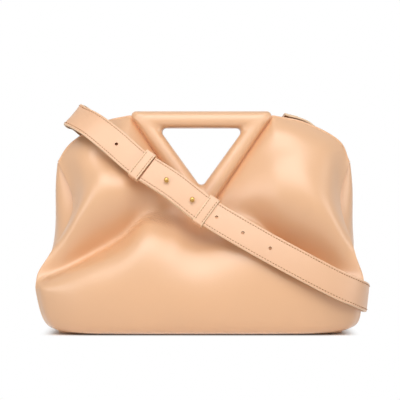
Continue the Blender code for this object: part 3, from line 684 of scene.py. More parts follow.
def panel_shape():
    """Front panel with its long crease, the crease's mask and the panel's columns and rows."""
    columns = spaced(-SIDE_COLUMN, SIDE_COLUMN, PANEL_COLUMN_CELLS)
    rows = spaced(0, LAST_ROW, PANEL_ROW_CELLS)
    points = panel_surface(columns, rows)
    column, row = np.meshgrid(columns, rows)
    above, reach = crease_place(points, column, row)
    valley = bell(above, CREASE_OFFSET, CREASE_WIDTH)
    points -= surface_normals(points) * (reach * CREASE_DEPTH * valley)[..., None]
    # This mask drives both the wrinkles and the painted shade along the crease
    mask = reach * bell(above, CREASE_MASK_OFFSET, CREASE_MASK_WIDTH)
    return points, mask, column, row


class BAG_OT_panels(bpy.types.Operator):
    """Front and back leather halves with their long creases."""
    bl_idname = "bag.panels"
    bl_label = "Leather Halves"

    def execute(self, context):
        shape, colours = context.scene.bag_shape, context.scene.bag_colours
        points, crease, column, row = panel_shape()
        uv = np.stack([column * UV_PER_COLUMN, row * UV_PER_ROW], axis=-1).reshape(-1, 2)
        for side, sign in HALVES:
            faces = grid_faces(*row.shape, sign < 0)
            piece = new_piece(f"{side}_leather", to_metres(points, sign), faces, body_leather(colours))
            set_uv(piece, uv)
            set_shade(piece, "crease", crease)
            apply_modifier(piece, "SOLIDIFY", thickness=shape.panel_thickness, offset=-1.0)
            round_edges(piece, PANEL_EDGE, SHEET_EDGE_ANGLE)
            smooth(piece)
            bend_with_half(piece)
            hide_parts(f"{side}_panel")
        return {"FINISHED"}


class BAG_OT_linings(bpy.types.Operator):
    """Suede linings behind both halves."""
    bl_idname = "bag.linings"
    bl_label = "Linings"

    def execute(self, context):
        shape, colours = context.scene.bag_shape, context.scene.bag_colours
        columns = spaced(*LINING_COLUMNS, LINING_COLUMN_CELLS)
        rows = spaced(*LINING_ROWS, LINING_ROW_CELLS)
        points = panel_surface(columns, rows)
        inset = (shape.panel_thickness + shape.lining_slack) / MM
        points = points - surface_normals(points) * inset
        for side, sign in HALVES:
            piece = sheet_piece(f"{side}_suede", points, sign, shape.lining_thickness,
                                suede_material(colours), round_edge=LINING_EDGE)
            bend_with_half(piece)
            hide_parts(f"{side}_lining")
        return {"FINISHED"}


GUSSET_SEAM = 0.4
GUSSET_CELLS = 40
# Columns of the strip that gives the side ridge its direction
RIDGE_STRIP = 0.05
# Shares of the seam's depth and of the way to the tuck
TUCK_LIMIT = 0.4
SWELL_SHARE = 0.3
SWELL_DEPTH = 0.45


def gusset_surface(side, rows, thickness):
    """Front half of one gusset, from the panel's side ridge to the bag's middle plane."""
    ridge = panel_surface(side * np.array([SIDE_COLUMN - RIDGE_STRIP, SIDE_COLUMN]), rows)
    if side < 0:
        ridge = ridge[:, ::-1]
    normals = surface_normals(ridge)
    column = 0 if side < 0 else 1
    seam = ridge[:, column] - normals[:, column] * (thickness + GUSSET_SEAM)
    middle_xz = spline(GUSSET_MIDDLE, rows, passing=False)
    tuck_size = spline(GUSSET_TUCK, rows, passing=False)
    middle = np.stack([leaned(side * middle_xz[:, 0], middle_xz[:, 1]),
                       np.zeros(len(rows)), middle_xz[:, 1]], axis=1)
    tuck = seam.copy()
    tuck[:, 0] -= side * tuck_size[:, 0]
    tuck[:, 1] -= np.minimum(tuck_size[:, 1], TUCK_LIMIT * seam[:, 1])
    swell = middle + (tuck - middle) * SWELL_SHARE
    swell[:, 1] = SWELL_DEPTH * seam[:, 1]
    half = [seam, tuck, swell, middle]
    across = half + [part * (1, -1, 1) for part in reversed(half[:-1])]
    at = spaced(0, len(half) - 1, GUSSET_CELLS)
    return spline(np.stack(across), at, passing=False).transpose(1, 0, 2)


class BAG_OT_gussets(bpy.types.Operator):
    """Folded leather sides, each in a front and a back part that meet in the middle plane."""
    bl_idname = "bag.gussets"
    bl_label = "Side Gussets"

    def execute(self, context):
        shape, colours = context.scene.bag_shape, context.scene.bag_colours
        rows = spaced(0, LAST_ROW, PANEL_ROW_CELLS)
        for name, side in (("left_gusset", -1), ("right_gusset", 1)):
            points = gusset_surface(side, rows, shape.panel_thickness / MM)
            for half, sign in HALVES:
                faces = grid_faces(points.shape[0], points.shape[1], side * sign < 0)
                piece = new_piece(f"{name}_{half}", to_metres(points, sign), faces, trim_leather(colours))
                apply_modifier(piece, "SOLIDIFY", thickness=shape.gusset_thickness, offset=1.0)
                smooth(piece)
                bend_with_half(piece)
                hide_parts(name)
        return {"FINISHED"}


def rounded_triangle(corners, radii, arc_cells, side_cells):
    """Outline (x, z) of a triangle with round corners, evenly filled along its sides."""
    arcs = []
    for i, radius in enumerate(radii):
        corner = Vector(corners[i])
        to_previous = (Vector(corners[i - 1]) - corner).normalized()
        to_next = (Vector(corners[(i + 1) % 3]) - corner).normalized()
        half_angle = to_previous.angle(to_next) / 2
        bisector = (to_previous + to_next).normalized()
        centre = corner + bisector * radius / math.sin(half_angle)
        start = corner + to_previous * radius / math.tan(half_angle) - centre
        end = corner + to_next * radius / math.tan(half_angle) - centre
        turn = start.angle_signed(end)
        arcs.append([centre + Matrix.Rotation(-turn * step / arc_cells, 2) @ start
                     for step in range(arc_cells + 1)])
    outline = []
    for i, arc in enumerate(arcs):
        outline += arc
        after = arcs[(i + 1) % 3][0]
        outline += [arc[-1].lerp(after, step / side_cells) for step in range(1, side_cells)]
    return np.array([tuple(p) for p in outline])


HANDLE_ARC_CELLS = 10
HANDLE_SIDE_CELLS = 36
HANDLE_DOME_CELLS = 20
HANDLE_WALL_LOW = 1.6
HANDLE_WALL_HIGH = 7.0
HANDLE_CROWN = 16.0
HANDLE_LEATHER = 1.25
HANDLE_WIDTH = 18.0
HANDLE_SHOULDER = 4.5
HANDLE_SIDE_POWER = 0.85
HANDLE_TOP_POWER = 0.9
HANDLE_SMOOTH_ANGLE = 40.0


def handle_section(inset):
    """Round section of the handle's cover: (share of the way from hole to outer edge, height)."""
    angles = spaced(0, math.pi, HANDLE_DOME_CELLS)
    side = np.sign(np.cos(angles)) * np.abs(np.cos(angles)) ** HANDLE_SIDE_POWER
    share = 0.5 - side * (0.5 - inset / HANDLE_WIDTH)
    rise = HANDLE_CROWN - HANDLE_WALL_HIGH - inset
    height = HANDLE_WALL_HIGH + rise * np.sin(angles) ** HANDLE_TOP_POWER
    ends = [(share[0], HANDLE_WALL_LOW), (share[0], HANDLE_SHOULDER)]
    far = [(share[-1], HANDLE_SHOULDER), (share[-1], HANDLE_WALL_LOW)]
    return ends + list(zip(share, height)) + far


def handle_places(section):
    """Rings of vertices over one section all round the handle, in metres."""
    outer = rounded_triangle(HANDLE_OUTER, HANDLE_OUTER_RADII, HANDLE_ARC_CELLS, HANDLE_SIDE_CELLS)
    hole = rounded_triangle(HANDLE_HOLE, HANDLE_HOLE_RADII, HANDLE_ARC_CELLS, HANDLE_SIDE_CELLS)
    rings = []
    for share, height in section:
        flat = hole + (outer - hole) * share
        depth = HANDLE_INNER_DEPTH + (HANDLE_TOP_Z - flat[:, 1]) * HANDLE_LEAN + height
        rings.append(np.stack([flat[:, 0] + HANDLE_X, depth, flat[:, 1]], axis=1))
    return np.stack(rings)


class BAG_OT_handles(bpy.types.Operator):
    """Leather covers of the two triangular handles, with the facings, cores and magnets behind them."""
    bl_idname = "bag.handles"
    bl_label = "Triangle Handles"

    def execute(self, context):
        colours = context.scene.bag_colours
        section = handle_section(0.0) + handle_section(HANDLE_LEATHER)[::-1]
        core = plain_material("handle_core", (0.05, 0.047, 0.045), roughness=0.6, scale=900.0, relief=0.0002)
        steel = plain_material("magnet_steel", (0.55, 0.55, 0.57), roughness=0.3, scale=300.0,
                               relief=0.00005, metallic=1.0)
        rings = handle_places(section)
        count = rings.shape[1]
        faces = grid_faces(len(section), count, False, closed=True)
        last = (len(section) - 1) * count
        for i in range(count):
            j = (i + 1) % count
            faces.append((last + i, last + j, j, i))
        for side, sign in HALVES:
            piece = new_piece(f"{side}_handle_leather", to_metres(rings, sign), faces, trim_leather(colours))
            close_normals(piece)
            smooth(piece, HANDLE_SMOOTH_ANGLE)
            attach(piece, f"{side}_half")
            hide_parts(f"{side}_handle_cover")
            dress_node(f"{side}_handle_facing", trim_leather(colours))
            dress_node(f"{side}_handle_core", core)
            dress_node(f"{side}_magnet_left", steel)
            dress_node(f"{side}_magnet_right", steel)
        return {"FINISHED"}


PIPING_CELLS = 240
PIPING_SIDES = 12
PIPING_STEP = 0.02
PIPING_SINK = 1.0


def capped_faces(rings, count):
    """Faces of a closed tube of rings with count vertices each, and of its two ends."""
    last = (rings - 1) * count
    ends = [tuple(range(count)), tuple(range(last, last + count))[::-1]]
    return grid_faces(rings, count, False, closed=True) + ends


def tube(name, path, radius, sides, material):
    """Closed round tube along a path of places in metres."""
    path = np.asarray(path)
    along = np.gradient(path, axis=0)
    along /= np.linalg.norm(along, axis=1, keepdims=True)
    up = np.array([0.0, 1.0, 0.0])
    across = np.cross(along, up)
    across /= np.linalg.norm(across, axis=1, keepdims=True)
    over = np.cross(across, along)
    angles = 2 * np.pi * np.arange(sides) / sides
    rings = (path[:, None] + radius * (across[:, None] * np.cos(angles)[None, :, None]
                                       + over[:, None] * np.sin(angles)[None, :, None]))
    piece = new_piece(name, rings.reshape(-1, 3), capped_faces(len(path), sides), material)
    close_normals(piece)
    smooth(piece)
    return piece


class BAG_OT_mouth_edges(bpy.types.Operator):
    """Rolled leather edge along the mouth of each half, between the panel and the handle."""
    bl_idname = "bag.mouth_edges"
    bl_label = "Rolled Mouth Edges"

    def execute(self, context):
        shape, colours = context.scene.bag_shape, context.scene.bag_colours
        columns = spaced(-SIDE_COLUMN, SIDE_COLUMN, PIPING_CELLS)
        edge = panel_surface(columns, np.array([LAST_ROW - PIPING_STEP, LAST_ROW]))[1]
        for side, sign in HALVES:
            path = to_metres(edge - (0, PIPING_SINK, 0), sign)
            piece = tube(f"{side}_mouth_edge", path, shape.piping_radius, PIPING_SIDES, trim_leather(colours))
            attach(piece, f"{side}_half")
        return {"FINISHED"}


# Strap

STRAP_CELL = 0.06
TANGENT_STEP = 0.02
FINE_CELLS = 400
# Width of the pale cut edge, painted and made paler as a painted highlight, and how far under the middle the
# inner side starts
PALE_EDGE_REACH = 0.8
UNDER_MARGIN = 0.3
STITCH_SHARE = 0.66
STITCH_RADIUS = 0.36
STITCH_SIDES = 5
STITCH_TIP = 0.55
STITCH_SINK = 0.12
STITCH_SMOOTH_ANGLE = 70.0
# Share of the stitch's length, and height in thread radii
STITCH_PROFILE = ((-0.5, -0.6), (-0.34, 0.55), (0.0, 0.95), (0.34, 0.55), (0.5, -0.6))
SECTION_EDGE = ((0.0, 1.1), (0.12, 0.62), (0.4, 0.25), (0.9, 0.03), (1.6, 0.0), (2.2, 0.1), (2.6, 0.18),
                (3.0, 0.1), (3.8, 0.0), (8.0, -0.06), (15.0, -0.1))


def strap_frames(stations):
    """Centre, direction along, direction across and outward direction of the strap, in millimetres."""
    route = np.array(STRAP_ROUTE, float)
    centres, widths = route.mean(axis=1), route[:, 0] - route[:, 1]
    before = np.clip(stations - TANGENT_STEP, 0, STRAP_END)
    after = np.clip(stations + TANGENT_STEP, 0, STRAP_END)
    along = spline(centres, after, passing=True) - spline(centres, before, passing=True)
    along /= np.linalg.norm(along, axis=1, keepdims=True)
    across = spline(widths, stations, passing=True)
    across -= along * (across * along).sum(axis=1, keepdims=True)
    across /= np.linalg.norm(across, axis=1, keepdims=True)
    return spline(centres, stations, passing=True), along, across, np.cross(across, along)


def band_section(width, low, high):
    """Closed section of a leather band: (side, height) with rolled cut edges and sewn grooves."""
    thickness = high - low
    top = [(width / 2 - inset, high - min(drop, thickness / 2)) for inset, drop in SECTION_EDGE
           if inset <= width / 2]
    top += [(-side, height) for side, height in reversed(top[:-1])]
    bottom = [(-side, low + (high - height)) for side, height in top[1:-1]]
    return top, bottom


def band(name, span, low, high, width, materials):
    """Leather band along the strap's route between two stations and two heights, with pale cut edges."""
    cells = max(2, round((span[1] - span[0]) / STRAP_CELL))
    centre, _, across, outward = strap_frames(spaced(*span, cells))
    top, bottom = band_section(width, low, high)
    section = np.array(top + bottom)
    rings = (centre[:, None] + across[:, None] * section[None, :, :1]
             + outward[:, None] * section[None, :, 1:])
    count = len(section)
    piece = new_piece(name, to_metres(rings), capped_faces(len(centre), count), materials[0])
    piece.data.materials.append(materials[1])
    middle = (low + high) / 2
    near_edge = np.abs(section[:, 0]) > width / 2 - PALE_EDGE_REACH
    set_shade(piece, "edge", np.tile(near_edge.astype(float), len(centre)))
    under = (section[:, 1] < middle - UNDER_MARGIN) & ~near_edge
    slots = np.zeros(len(piece.data.polygons), np.int32)
    for index, polygon in enumerate(piece.data.polygons):
        if len(polygon.vertices) == 4 and all(under[v % count] for v in polygon.vertices):
            slots[index] = 1
    piece.data.polygons.foreach_set("material_index", slots)
    close_normals(piece)
    smooth(piece)
    return piece


def stitch_run(name, centres, along, outward, shape, material):
    """Row of sewn stitches: short thread humps at the given places, all in millimetres."""
    length = STITCH_SHARE * shape.stitch_pitch / MM
    angles = 2 * np.pi * np.arange(STITCH_SIDES) / STITCH_SIDES
    last = (len(STITCH_PROFILE) - 1) * STITCH_SIDES
    hump_faces = grid_faces(len(STITCH_PROFILE), STITCH_SIDES, True, closed=True)
    hump_faces += [tuple(range(STITCH_SIDES))[::-1], tuple(range(last, last + STITCH_SIDES))]
    verts, faces = [], []
    for centre, direction, normal in zip(centres, along, outward):
        across = np.cross(direction, normal)
        first = len(verts)
        for share, lift in STITCH_PROFILE:
            middle = centre + direction * share * length + normal * lift * STITCH_RADIUS
            thick = STITCH_RADIUS * (1.0 if abs(share) < 0.5 else STITCH_TIP)
            verts += [middle + (across * math.cos(a) + normal * math.sin(a)) * thick for a in angles]
        faces += [tuple(first + v for v in face) for face in hump_faces]
    piece = new_piece(name, to_metres(verts), faces, material)
    close_normals(piece)
    smooth(piece, STITCH_SMOOTH_ANGLE)
    return piece


def even_places(pitch, reach):
    """Distances at an even pitch to either side of a middle."""
    count = int(2 * reach / pitch)
    return (np.arange(count) - (count - 1) / 2) * pitch


def even_stations(span, pitch):
    """Stations at an even pitch, in millimetres, along part of the strap."""
    fine = spaced(*span, FINE_CELLS)
    centres = strap_frames(fine)[0]
    travelled = np.concatenate([[0], np.cumsum(np.linalg.norm(np.diff(centres, axis=0), axis=1))])
    count = int(travelled[-1] / pitch)
    return np.interp((np.arange(count) + 0.5) * travelled[-1] / count, travelled, fine)


def band_stitches(name, span, height, width, shape, material):
    """Two rows of stitches along a band, one near each edge."""
    stations = even_stations(span, shape.stitch_pitch / MM)
    centre, along, across, outward = strap_frames(stations)
    reach = width / 2 - shape.stitch_inset / MM
    rows = [centre + across * side * reach + outward * (height - STITCH_SINK) for side in (-1, 1)]
    return stitch_run(name, np.concatenate(rows), np.tile(along, (2, 1)), np.tile(outward, (2, 1)),
                      shape, material)


def station_at_middle(low, high):
    """Station between two others where the strap crosses the bag's middle plane."""
    stations = spaced(low, high, FINE_CELLS)
    depth = strap_frames(stations)[0][:, 1]
    return float(stations[np.argmin(np.abs(depth))])


CUTTER_SIDES = 24
CUTTER_LENGTH = 14 * MM
HOLE_RADIUS = 1.75 * MM
# Stations between which the strap crosses the middle plane, at its upper fold and at the lower corner
UPPER_FOLD = (3.0, 4.0)
LOWER_CORNER = (15.0, 16.0)
CORNER_END = 18.0
LEFT_TIP = 9.05
RIGHT_TIP = 7.27


def standing_at(place, direction):
    """Matrix that stands an upright form at a place and along a direction, both in millimetres."""
    turn = Vector((0, 0, 1)).rotation_difference(Vector(to_metres(direction)[0]).normalized())
    return Matrix.Translation(Vector(to_metres(place)[0])) @ turn.to_matrix().to_4x4()


def punch(piece, radius, placement, wall=None):
    """Cut a round hole with a boolean; its walls take the material wall, or the piece's own."""
    deselect()
    bpy.ops.mesh.primitive_cylinder_add(vertices=CUTTER_SIDES, radius=radius, depth=CUTTER_LENGTH)
    cutter = bpy.context.object
    cutter.data.transform(placement)
    if wall:
        cutter.data.materials.append(wall)
    apply_modifier(piece, "BOOLEAN", operation="DIFFERENCE", solver="EXACT", object=cutter,
                   material_mode="TRANSFER" if wall else "INDEX")
    bpy.data.objects.remove(cutter)


def drill_holes(piece, stations):
    """Punch the strap's round holes at the given stations."""
    centre, _, _, outward = strap_frames(np.array(stations, float))
    for place, direction in zip(centre, outward):
        # the hole walls carry painted shade: near black
        punch(piece, HOLE_RADIUS, standing_at(place, direction), punched_material())


class BAG_OT_straps(bpy.types.Operator):
    """Both lengths of the shoulder strap with their seams and punched holes."""
    bl_idname = "bag.straps"
    bl_label = "Shoulder Strap"

    def execute(self, context):
        shape, colours = context.scene.bag_shape, context.scene.bag_colours
        width, thickness = shape.strap_width / MM, shape.strap_thickness / MM
        materials = (strap_leather(colours), suede_material(colours))
        thread = thread_material(colours)
        top_fold = station_at_middle(*UPPER_FOLD)
        corner = station_at_middle(*LOWER_CORNER)
        holes_left = [*STUD_STATIONS.values(), *EMPTY_HOLES_LEFT]
        holes_right = [*STUD_STATIONS.values(), *EMPTY_HOLES_RIGHT]
        # name, span, under or over, bodies, reach of the bend, replaced node, holes
        runs = (
            ("strap_left_back", (0.0, top_fold), -1, "back_half", TOP_FOLD_REACH, "strap_left", ()),
            ("strap_left_front", (top_fold, LEFT_TIP), -1, "front_half", TOP_FOLD_REACH, "strap_left",
             holes_left),
            ("strap_right_front", (RIGHT_TIP, corner), 1, "front_half", CORNER_WRAP_REACH, "strap_right",
             holes_right),
            ("strap_right_corner", (corner, CORNER_END), 1, "back_half", CORNER_WRAP_REACH, "strap_right",
             ()),
            ("strap_right_back", (CORNER_END, STRAP_END), 1, "back_half", None, "strap_right", ()),
        )
        for name, span, level, half, reach, node, holes in runs:
            low, high = sorted((level * STRAP_GAP, level * (STRAP_GAP + thickness)))
            piece = band(name, span, low, high, width, materials)
            if holes:
                drill_holes(piece, holes)
            seam = band_stitches(f"{name}_seam", span, high, width, shape, thread)
            for part in (piece, seam):
                if reach is None:
                    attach(part, half)
                else:
                    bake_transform(part)
            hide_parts(node)
        return {"FINISHED"}


ANCHOR_STATIONS = 0.55
ANCHOR_THICKNESS = 1.8
ANCHOR_INSET = 1.5
ANCHOR_PLAY = 0.3


class BAG_OT_anchors(bpy.types.Operator):
    """Sewn leather patches that hold the strap's two ends on the back half."""
    bl_idname = "bag.anchors"
    bl_label = "Strap Anchors"

    def execute(self, context):
        shape, colours = context.scene.bag_shape, context.scene.bag_colours
        materials = (strap_leather(colours), suede_material(colours))
        width = shape.strap_width / MM - 2 * ANCHOR_INSET
        over = STRAP_GAP + shape.strap_thickness / MM + ANCHOR_PLAY
        for name, span, low in (("strap_anchor_left", (0.0, ANCHOR_STATIONS), STRAP_GAP),
                                ("strap_anchor_right", (STRAP_END - ANCHOR_STATIONS, STRAP_END), over)):
            high = low + ANCHOR_THICKNESS
            piece = band(f"{name}_patch", span, low, high, width, materials)
            seam = band_stitches(f"{name}_seam", span, high, width, shape, thread_material(colours))
            for part in (piece, seam):
                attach(part, "back_half")
            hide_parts(name)
        return {"FINISHED"}


KEEPER_LENGTH = 11.5
KEEPER_WALL = 1.3
KEEPER_PLAY = 0.55
KEEPER_CORNER = 1.2
KEEPER_CORNER_CELLS = 5
# Section along the strap from the loop's end: (distance from the end, part of the wall, pale edge of painted
# colour and painted highlight)
KEEPER_PROFILE = ((0.0, 0.4, 1), (0.1, 0.7, 1), (0.35, 0.92, 1), (0.9, 1.0, 1), (1.0, 1.0, 0), (1.4, 0.95, 0),
                  (1.8, 0.86, 0), (2.2, 0.95, 0), (2.8, 1.0, 0))
KEEPER_SEAM_INSET = 1.8
KEEPER_SEAM_SINK = 0.2
KEEPER_SEAM_END = 1.0


def rounded_loop(half_width, half_height, corner):
    """Ring (side, height) round a rectangle with round corners."""
    quarter = spaced(0, math.pi / 2, KEEPER_CORNER_CELLS)
    ring = []
    for turn, (x, z) in enumerate(((1, 1), (-1, 1), (-1, -1), (1, -1))):
        for angle in quarter + turn * math.pi / 2:
            ring.append((x * (half_width - corner) + corner * math.cos(angle),
                         z * (half_height - corner) + corner * math.sin(angle)))
    return np.array(ring)


class BAG_OT_keepers(bpy.types.Operator):
    """Sewn leather loops that slide on the doubled strap."""
    bl_idname = "bag.keepers"
    bl_label = "Strap Keepers"

    def execute(self, context):
        shape, colours = context.scene.bag_shape, context.scene.bag_colours
        half_width = shape.strap_width / MM / 2 + KEEPER_PLAY
        half_height = shape.strap_thickness / MM + STRAP_GAP + KEEPER_PLAY
        half = KEEPER_LENGTH / 2
        outside = [(inset - half, part * KEEPER_WALL, edge_paint_and_highlight) for inset, part, edge_paint_and_highlight in KEEPER_PROFILE]
        outside += [(-along, grow, edge_paint_and_highlight) for along, grow, edge_paint_and_highlight in reversed(outside)]
        profile = outside + [(half, 0.0, 1), (-half, 0.0, 1)]
        for name, at in KEEPER_STATIONS.items():
            centre, along, across, outward = (part[0] for part in strap_frames(np.array([at])))
            loops = [centre + along * shift
                     + rounded_loop(half_width + grow, half_height + grow, KEEPER_CORNER) @ (across, outward)
                     for shift, grow, _ in profile]
            rings = np.stack([*loops, loops[0]])
            count = rings.shape[1]
            faces = [tuple(v % (len(profile) * count) for v in face)
                     for face in grid_faces(len(rings), count, False, closed=True)]
            piece = new_piece(name + "_loop", to_metres(rings[:-1]), faces, strap_leather(colours))
            set_shade(piece, "edge", np.repeat([float(edge_paint_and_highlight) for *_, edge_paint_and_highlight in profile], count))
            close_normals(piece)
            smooth(piece)
            reach = half - KEEPER_SEAM_INSET
            height = half_height + KEEPER_WALL - KEEPER_SEAM_SINK
            sides = even_places(shape.stitch_pitch / MM, half_width - KEEPER_SEAM_END)
            places = [centre + along * end * reach + across * side + outward * height
                      for end in (-1, 1) for side in sides]
            seam = stitch_run(f"{name}_seam", places, [across] * len(places), [outward] * len(places),
                              shape, thread_material(colours))
            body = name.replace("strap_", "")
            for part in (piece, seam):
                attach(part, body)
            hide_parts(name)
        return {"FINISHED"}


STUD_SIDES = 32
STUD_SMOOTH_ANGLE = 35.0
# Height and radius of each ring, from the foot under the strap to the ball's crown
STUD_RINGS = ((-5.1, 4.5), (-3.6, 4.5), (-3.4, 4.2), (-3.4, 1.2), (3.0, 1.2), (3.1, 2.3), (3.6, 2.4),
              (3.9, 2.1), (4.1, 1.2), (4.6, 1.1), (4.9, 1.5), (5.3, 2.0), (5.9, 2.4), (6.6, 2.55),
              (7.3, 2.4), (7.9, 2.0), (8.3, 1.5), (8.6, 0.9), (8.7, 0.3))


class BAG_OT_studs(bpy.types.Operator):
    """Brass studs that button the two strap lengths together."""
    bl_idname = "bag.studs"
    bl_label = "Studs"

    def execute(self, context):
        brass = brass_material(context.scene.bag_colours)
        foot_height, foot_radius = STUD_RINGS[0]
        for name, at in STUD_STATIONS.items():
            centre, _, _, outward = (part[0] for part in strap_frames(np.array([at])))
            deselect()
            bpy.ops.mesh.primitive_circle_add(vertices=STUD_SIDES, radius=foot_radius * MM,
                                              fill_type="NGON", location=(0, 0, foot_height * MM))
            piece = bpy.context.object
            piece.name = f"{name}_brass"
            bpy.ops.object.transform_apply(location=True, rotation=True, scale=True)
            bpy.ops.object.mode_set(mode="EDIT")
            bpy.ops.mesh.select_all(action="SELECT")
            for (low, before), (high, after) in zip(STUD_RINGS, STUD_RINGS[1:]):
                bpy.ops.mesh.extrude_region_move(
                    TRANSFORM_OT_translate={"value": (0, 0, (high - low) * MM)})
                bpy.ops.transform.resize(value=(after / before, after / before, 1))
            bpy.ops.mesh.select_all(action="SELECT")
            bpy.ops.mesh.normals_make_consistent(inside=False)
            bpy.ops.object.mode_set(mode="OBJECT")
            piece.data.transform(standing_at(centre, outward))
            piece.data.materials.append(brass)
            smooth(piece, STUD_SMOOTH_ANGLE)
            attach(piece, "front_half")
            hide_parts(name)
        return {"FINISHED"}


# Heights of the leather bottom and of the lining over its board, and how far each stays inside the seam
BASE_LAYERS = {"base_panel": (0.0, 2.6, 0.4), "base_lining": (4.9, 5.7, 4.2)}
BASE_CELLS = 60
BASE_END_INSET = 2.0
BASE_EDGE = 0.3 * MM


def base_outline(inset):
    """Outline (x, depth) of the bottom inside the panels' seams."""
    front = panel_surface(spaced(-SIDE_COLUMN, SIDE_COLUMN, BASE_CELLS), np.array([0.0]))[0, :, :2]
    front = front - np.stack([np.clip(front[:, 0], -inset, inset), np.full(len(front), inset)], axis=1)
    end = GUSSET_MIDDLE[0][0] - inset - BASE_END_INSET
    return [*front, (end, 0.0), *(front[::-1] * (1, -1)), (-end, 0.0)]


class BAG_OT_base(bpy.types.Operator):
    """Leather bottom, its board and the lining over it."""
    bl_idname = "bag.base"
    bl_label = "Base"

    def execute(self, context):
        colours = context.scene.bag_colours
        materials = {"base_panel": trim_leather(colours), "base_lining": suede_material(colours)}
        for name, (low, high, inset) in BASE_LAYERS.items():
            piece = prism_piece(f"{name}_sheet", base_outline(inset), low, high, 2, BASE_EDGE,
                                materials[name])
            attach(piece, "base")
            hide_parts(name)
        board = plain_material("pressed_board", (0.3, 0.22, 0.15), roughness=0.9, scale=1200.0, relief=0.0004)
        dress_node("base_board", board)
        return {"FINISHED"}


# Pocket

POCKET_HALF_LENGTH = 72.0
POCKET_DEPTH = -32.6
POCKET_HALF_THICKNESS = 2.1
POCKET_BOTTOM_Z = 24.0
POCKET_LIP_Z = 78.0
POCKET_TOP_Z = 90.0
POCKET_COLUMN_CELLS = 90
POCKET_ROW_CELLS = 70
POCKET_RIM_HALF_THICKNESS = 0.5
POCKET_RIM_POWER = 8
# Half length over which the sheet turns at the bottom fold
POCKET_FOLD = 2.0
# Soft waves of the suede: depth, length, slant, and the height and reach of the waved part
SAG_DEPTH = 0.35
SAG_LENGTH = 9.0
SAG_SLANT = 0.05
SAG_MIDDLE = 30.0
SAG_REACH = 22.0
HEADER_OUTLINE = ((-72, 90.2), (72, 90.2), (30, 104), (-30, 104))
HEADER_DEPTHS = (-34.2, -31.8)
HEADER_EDGE = 0.6 * MM
HEADER_SEAM_RISE = 2.2
HEADER_SEAM_SINK = 0.1
HEADER_SEAM_END = 3.0
TAPE_DEPTHS = (-30.7, -30.0)
TAPE_EDGE = 0.15 * MM
TAPE_HEIGHTS = {"zip_tape_lower": (78.2, 81.6), "zip_tape_upper": (86.4, 89.9)}
ZIP_Z = 84.0
TOOTH_SIZE = (1.3, 2.1, 1.5)
TOOTH_EDGE = 0.25 * MM
TOOTH_SMOOTH_ANGLE = 30.0
TOOTH_PITCH = 2.5
TOOTH_COUNT = 56
TOOTH_DEPTH = -30.4
TOOTH_MIDDLE = {"zip_teeth_lower": -1.5, "zip_teeth_upper": 1.5}
PULL_X = 62.0
PULL_DEPTHS = (-26.9, -24.9)
PULL_OUTLINE = ((1.0, 1.4), (1.0, -5.2), (2.3, -6.4), (3.1, -8.4), (3.4, -25.0), (3.0, -27.0), (1.8, -28.0))
PULL_EYE_RADIUS = 0.8
PULL_EDGE = 0.4 * MM
SLIDER_EDGE = 0.2 * MM


def pocket_shape():
    """Folded suede sheet of the pocket: up its front from the bottom, and up its back."""
    columns = spaced(-POCKET_HALF_LENGTH, POCKET_HALF_LENGTH, POCKET_COLUMN_CELLS)
    front_length, back_length = POCKET_LIP_Z - POCKET_BOTTOM_Z, POCKET_TOP_Z - POCKET_BOTTOM_Z
    run = spaced(-front_length, back_length, POCKET_ROW_CELLS)
    x, way = np.meshgrid(columns, run)
    flat = 1.0 - (np.abs(x) / POCKET_HALF_LENGTH) ** POCKET_RIM_POWER
    thickness = POCKET_RIM_HALF_THICKNESS + (POCKET_HALF_THICKNESS - POCKET_RIM_HALF_THICKNESS) * flat
    side = -np.tanh(way / POCKET_FOLD)
    wave = np.sin(x / SAG_LENGTH + SAG_SLANT * np.abs(way))
    sag = SAG_DEPTH * wave * bell(np.abs(way), SAG_MIDDLE, SAG_REACH)
    depth = POCKET_DEPTH + side * thickness + sag * flat
    height = POCKET_BOTTOM_Z + np.sqrt(way ** 2 + 1.0) - 1.0
    return np.stack([x, depth, height], axis=-1)


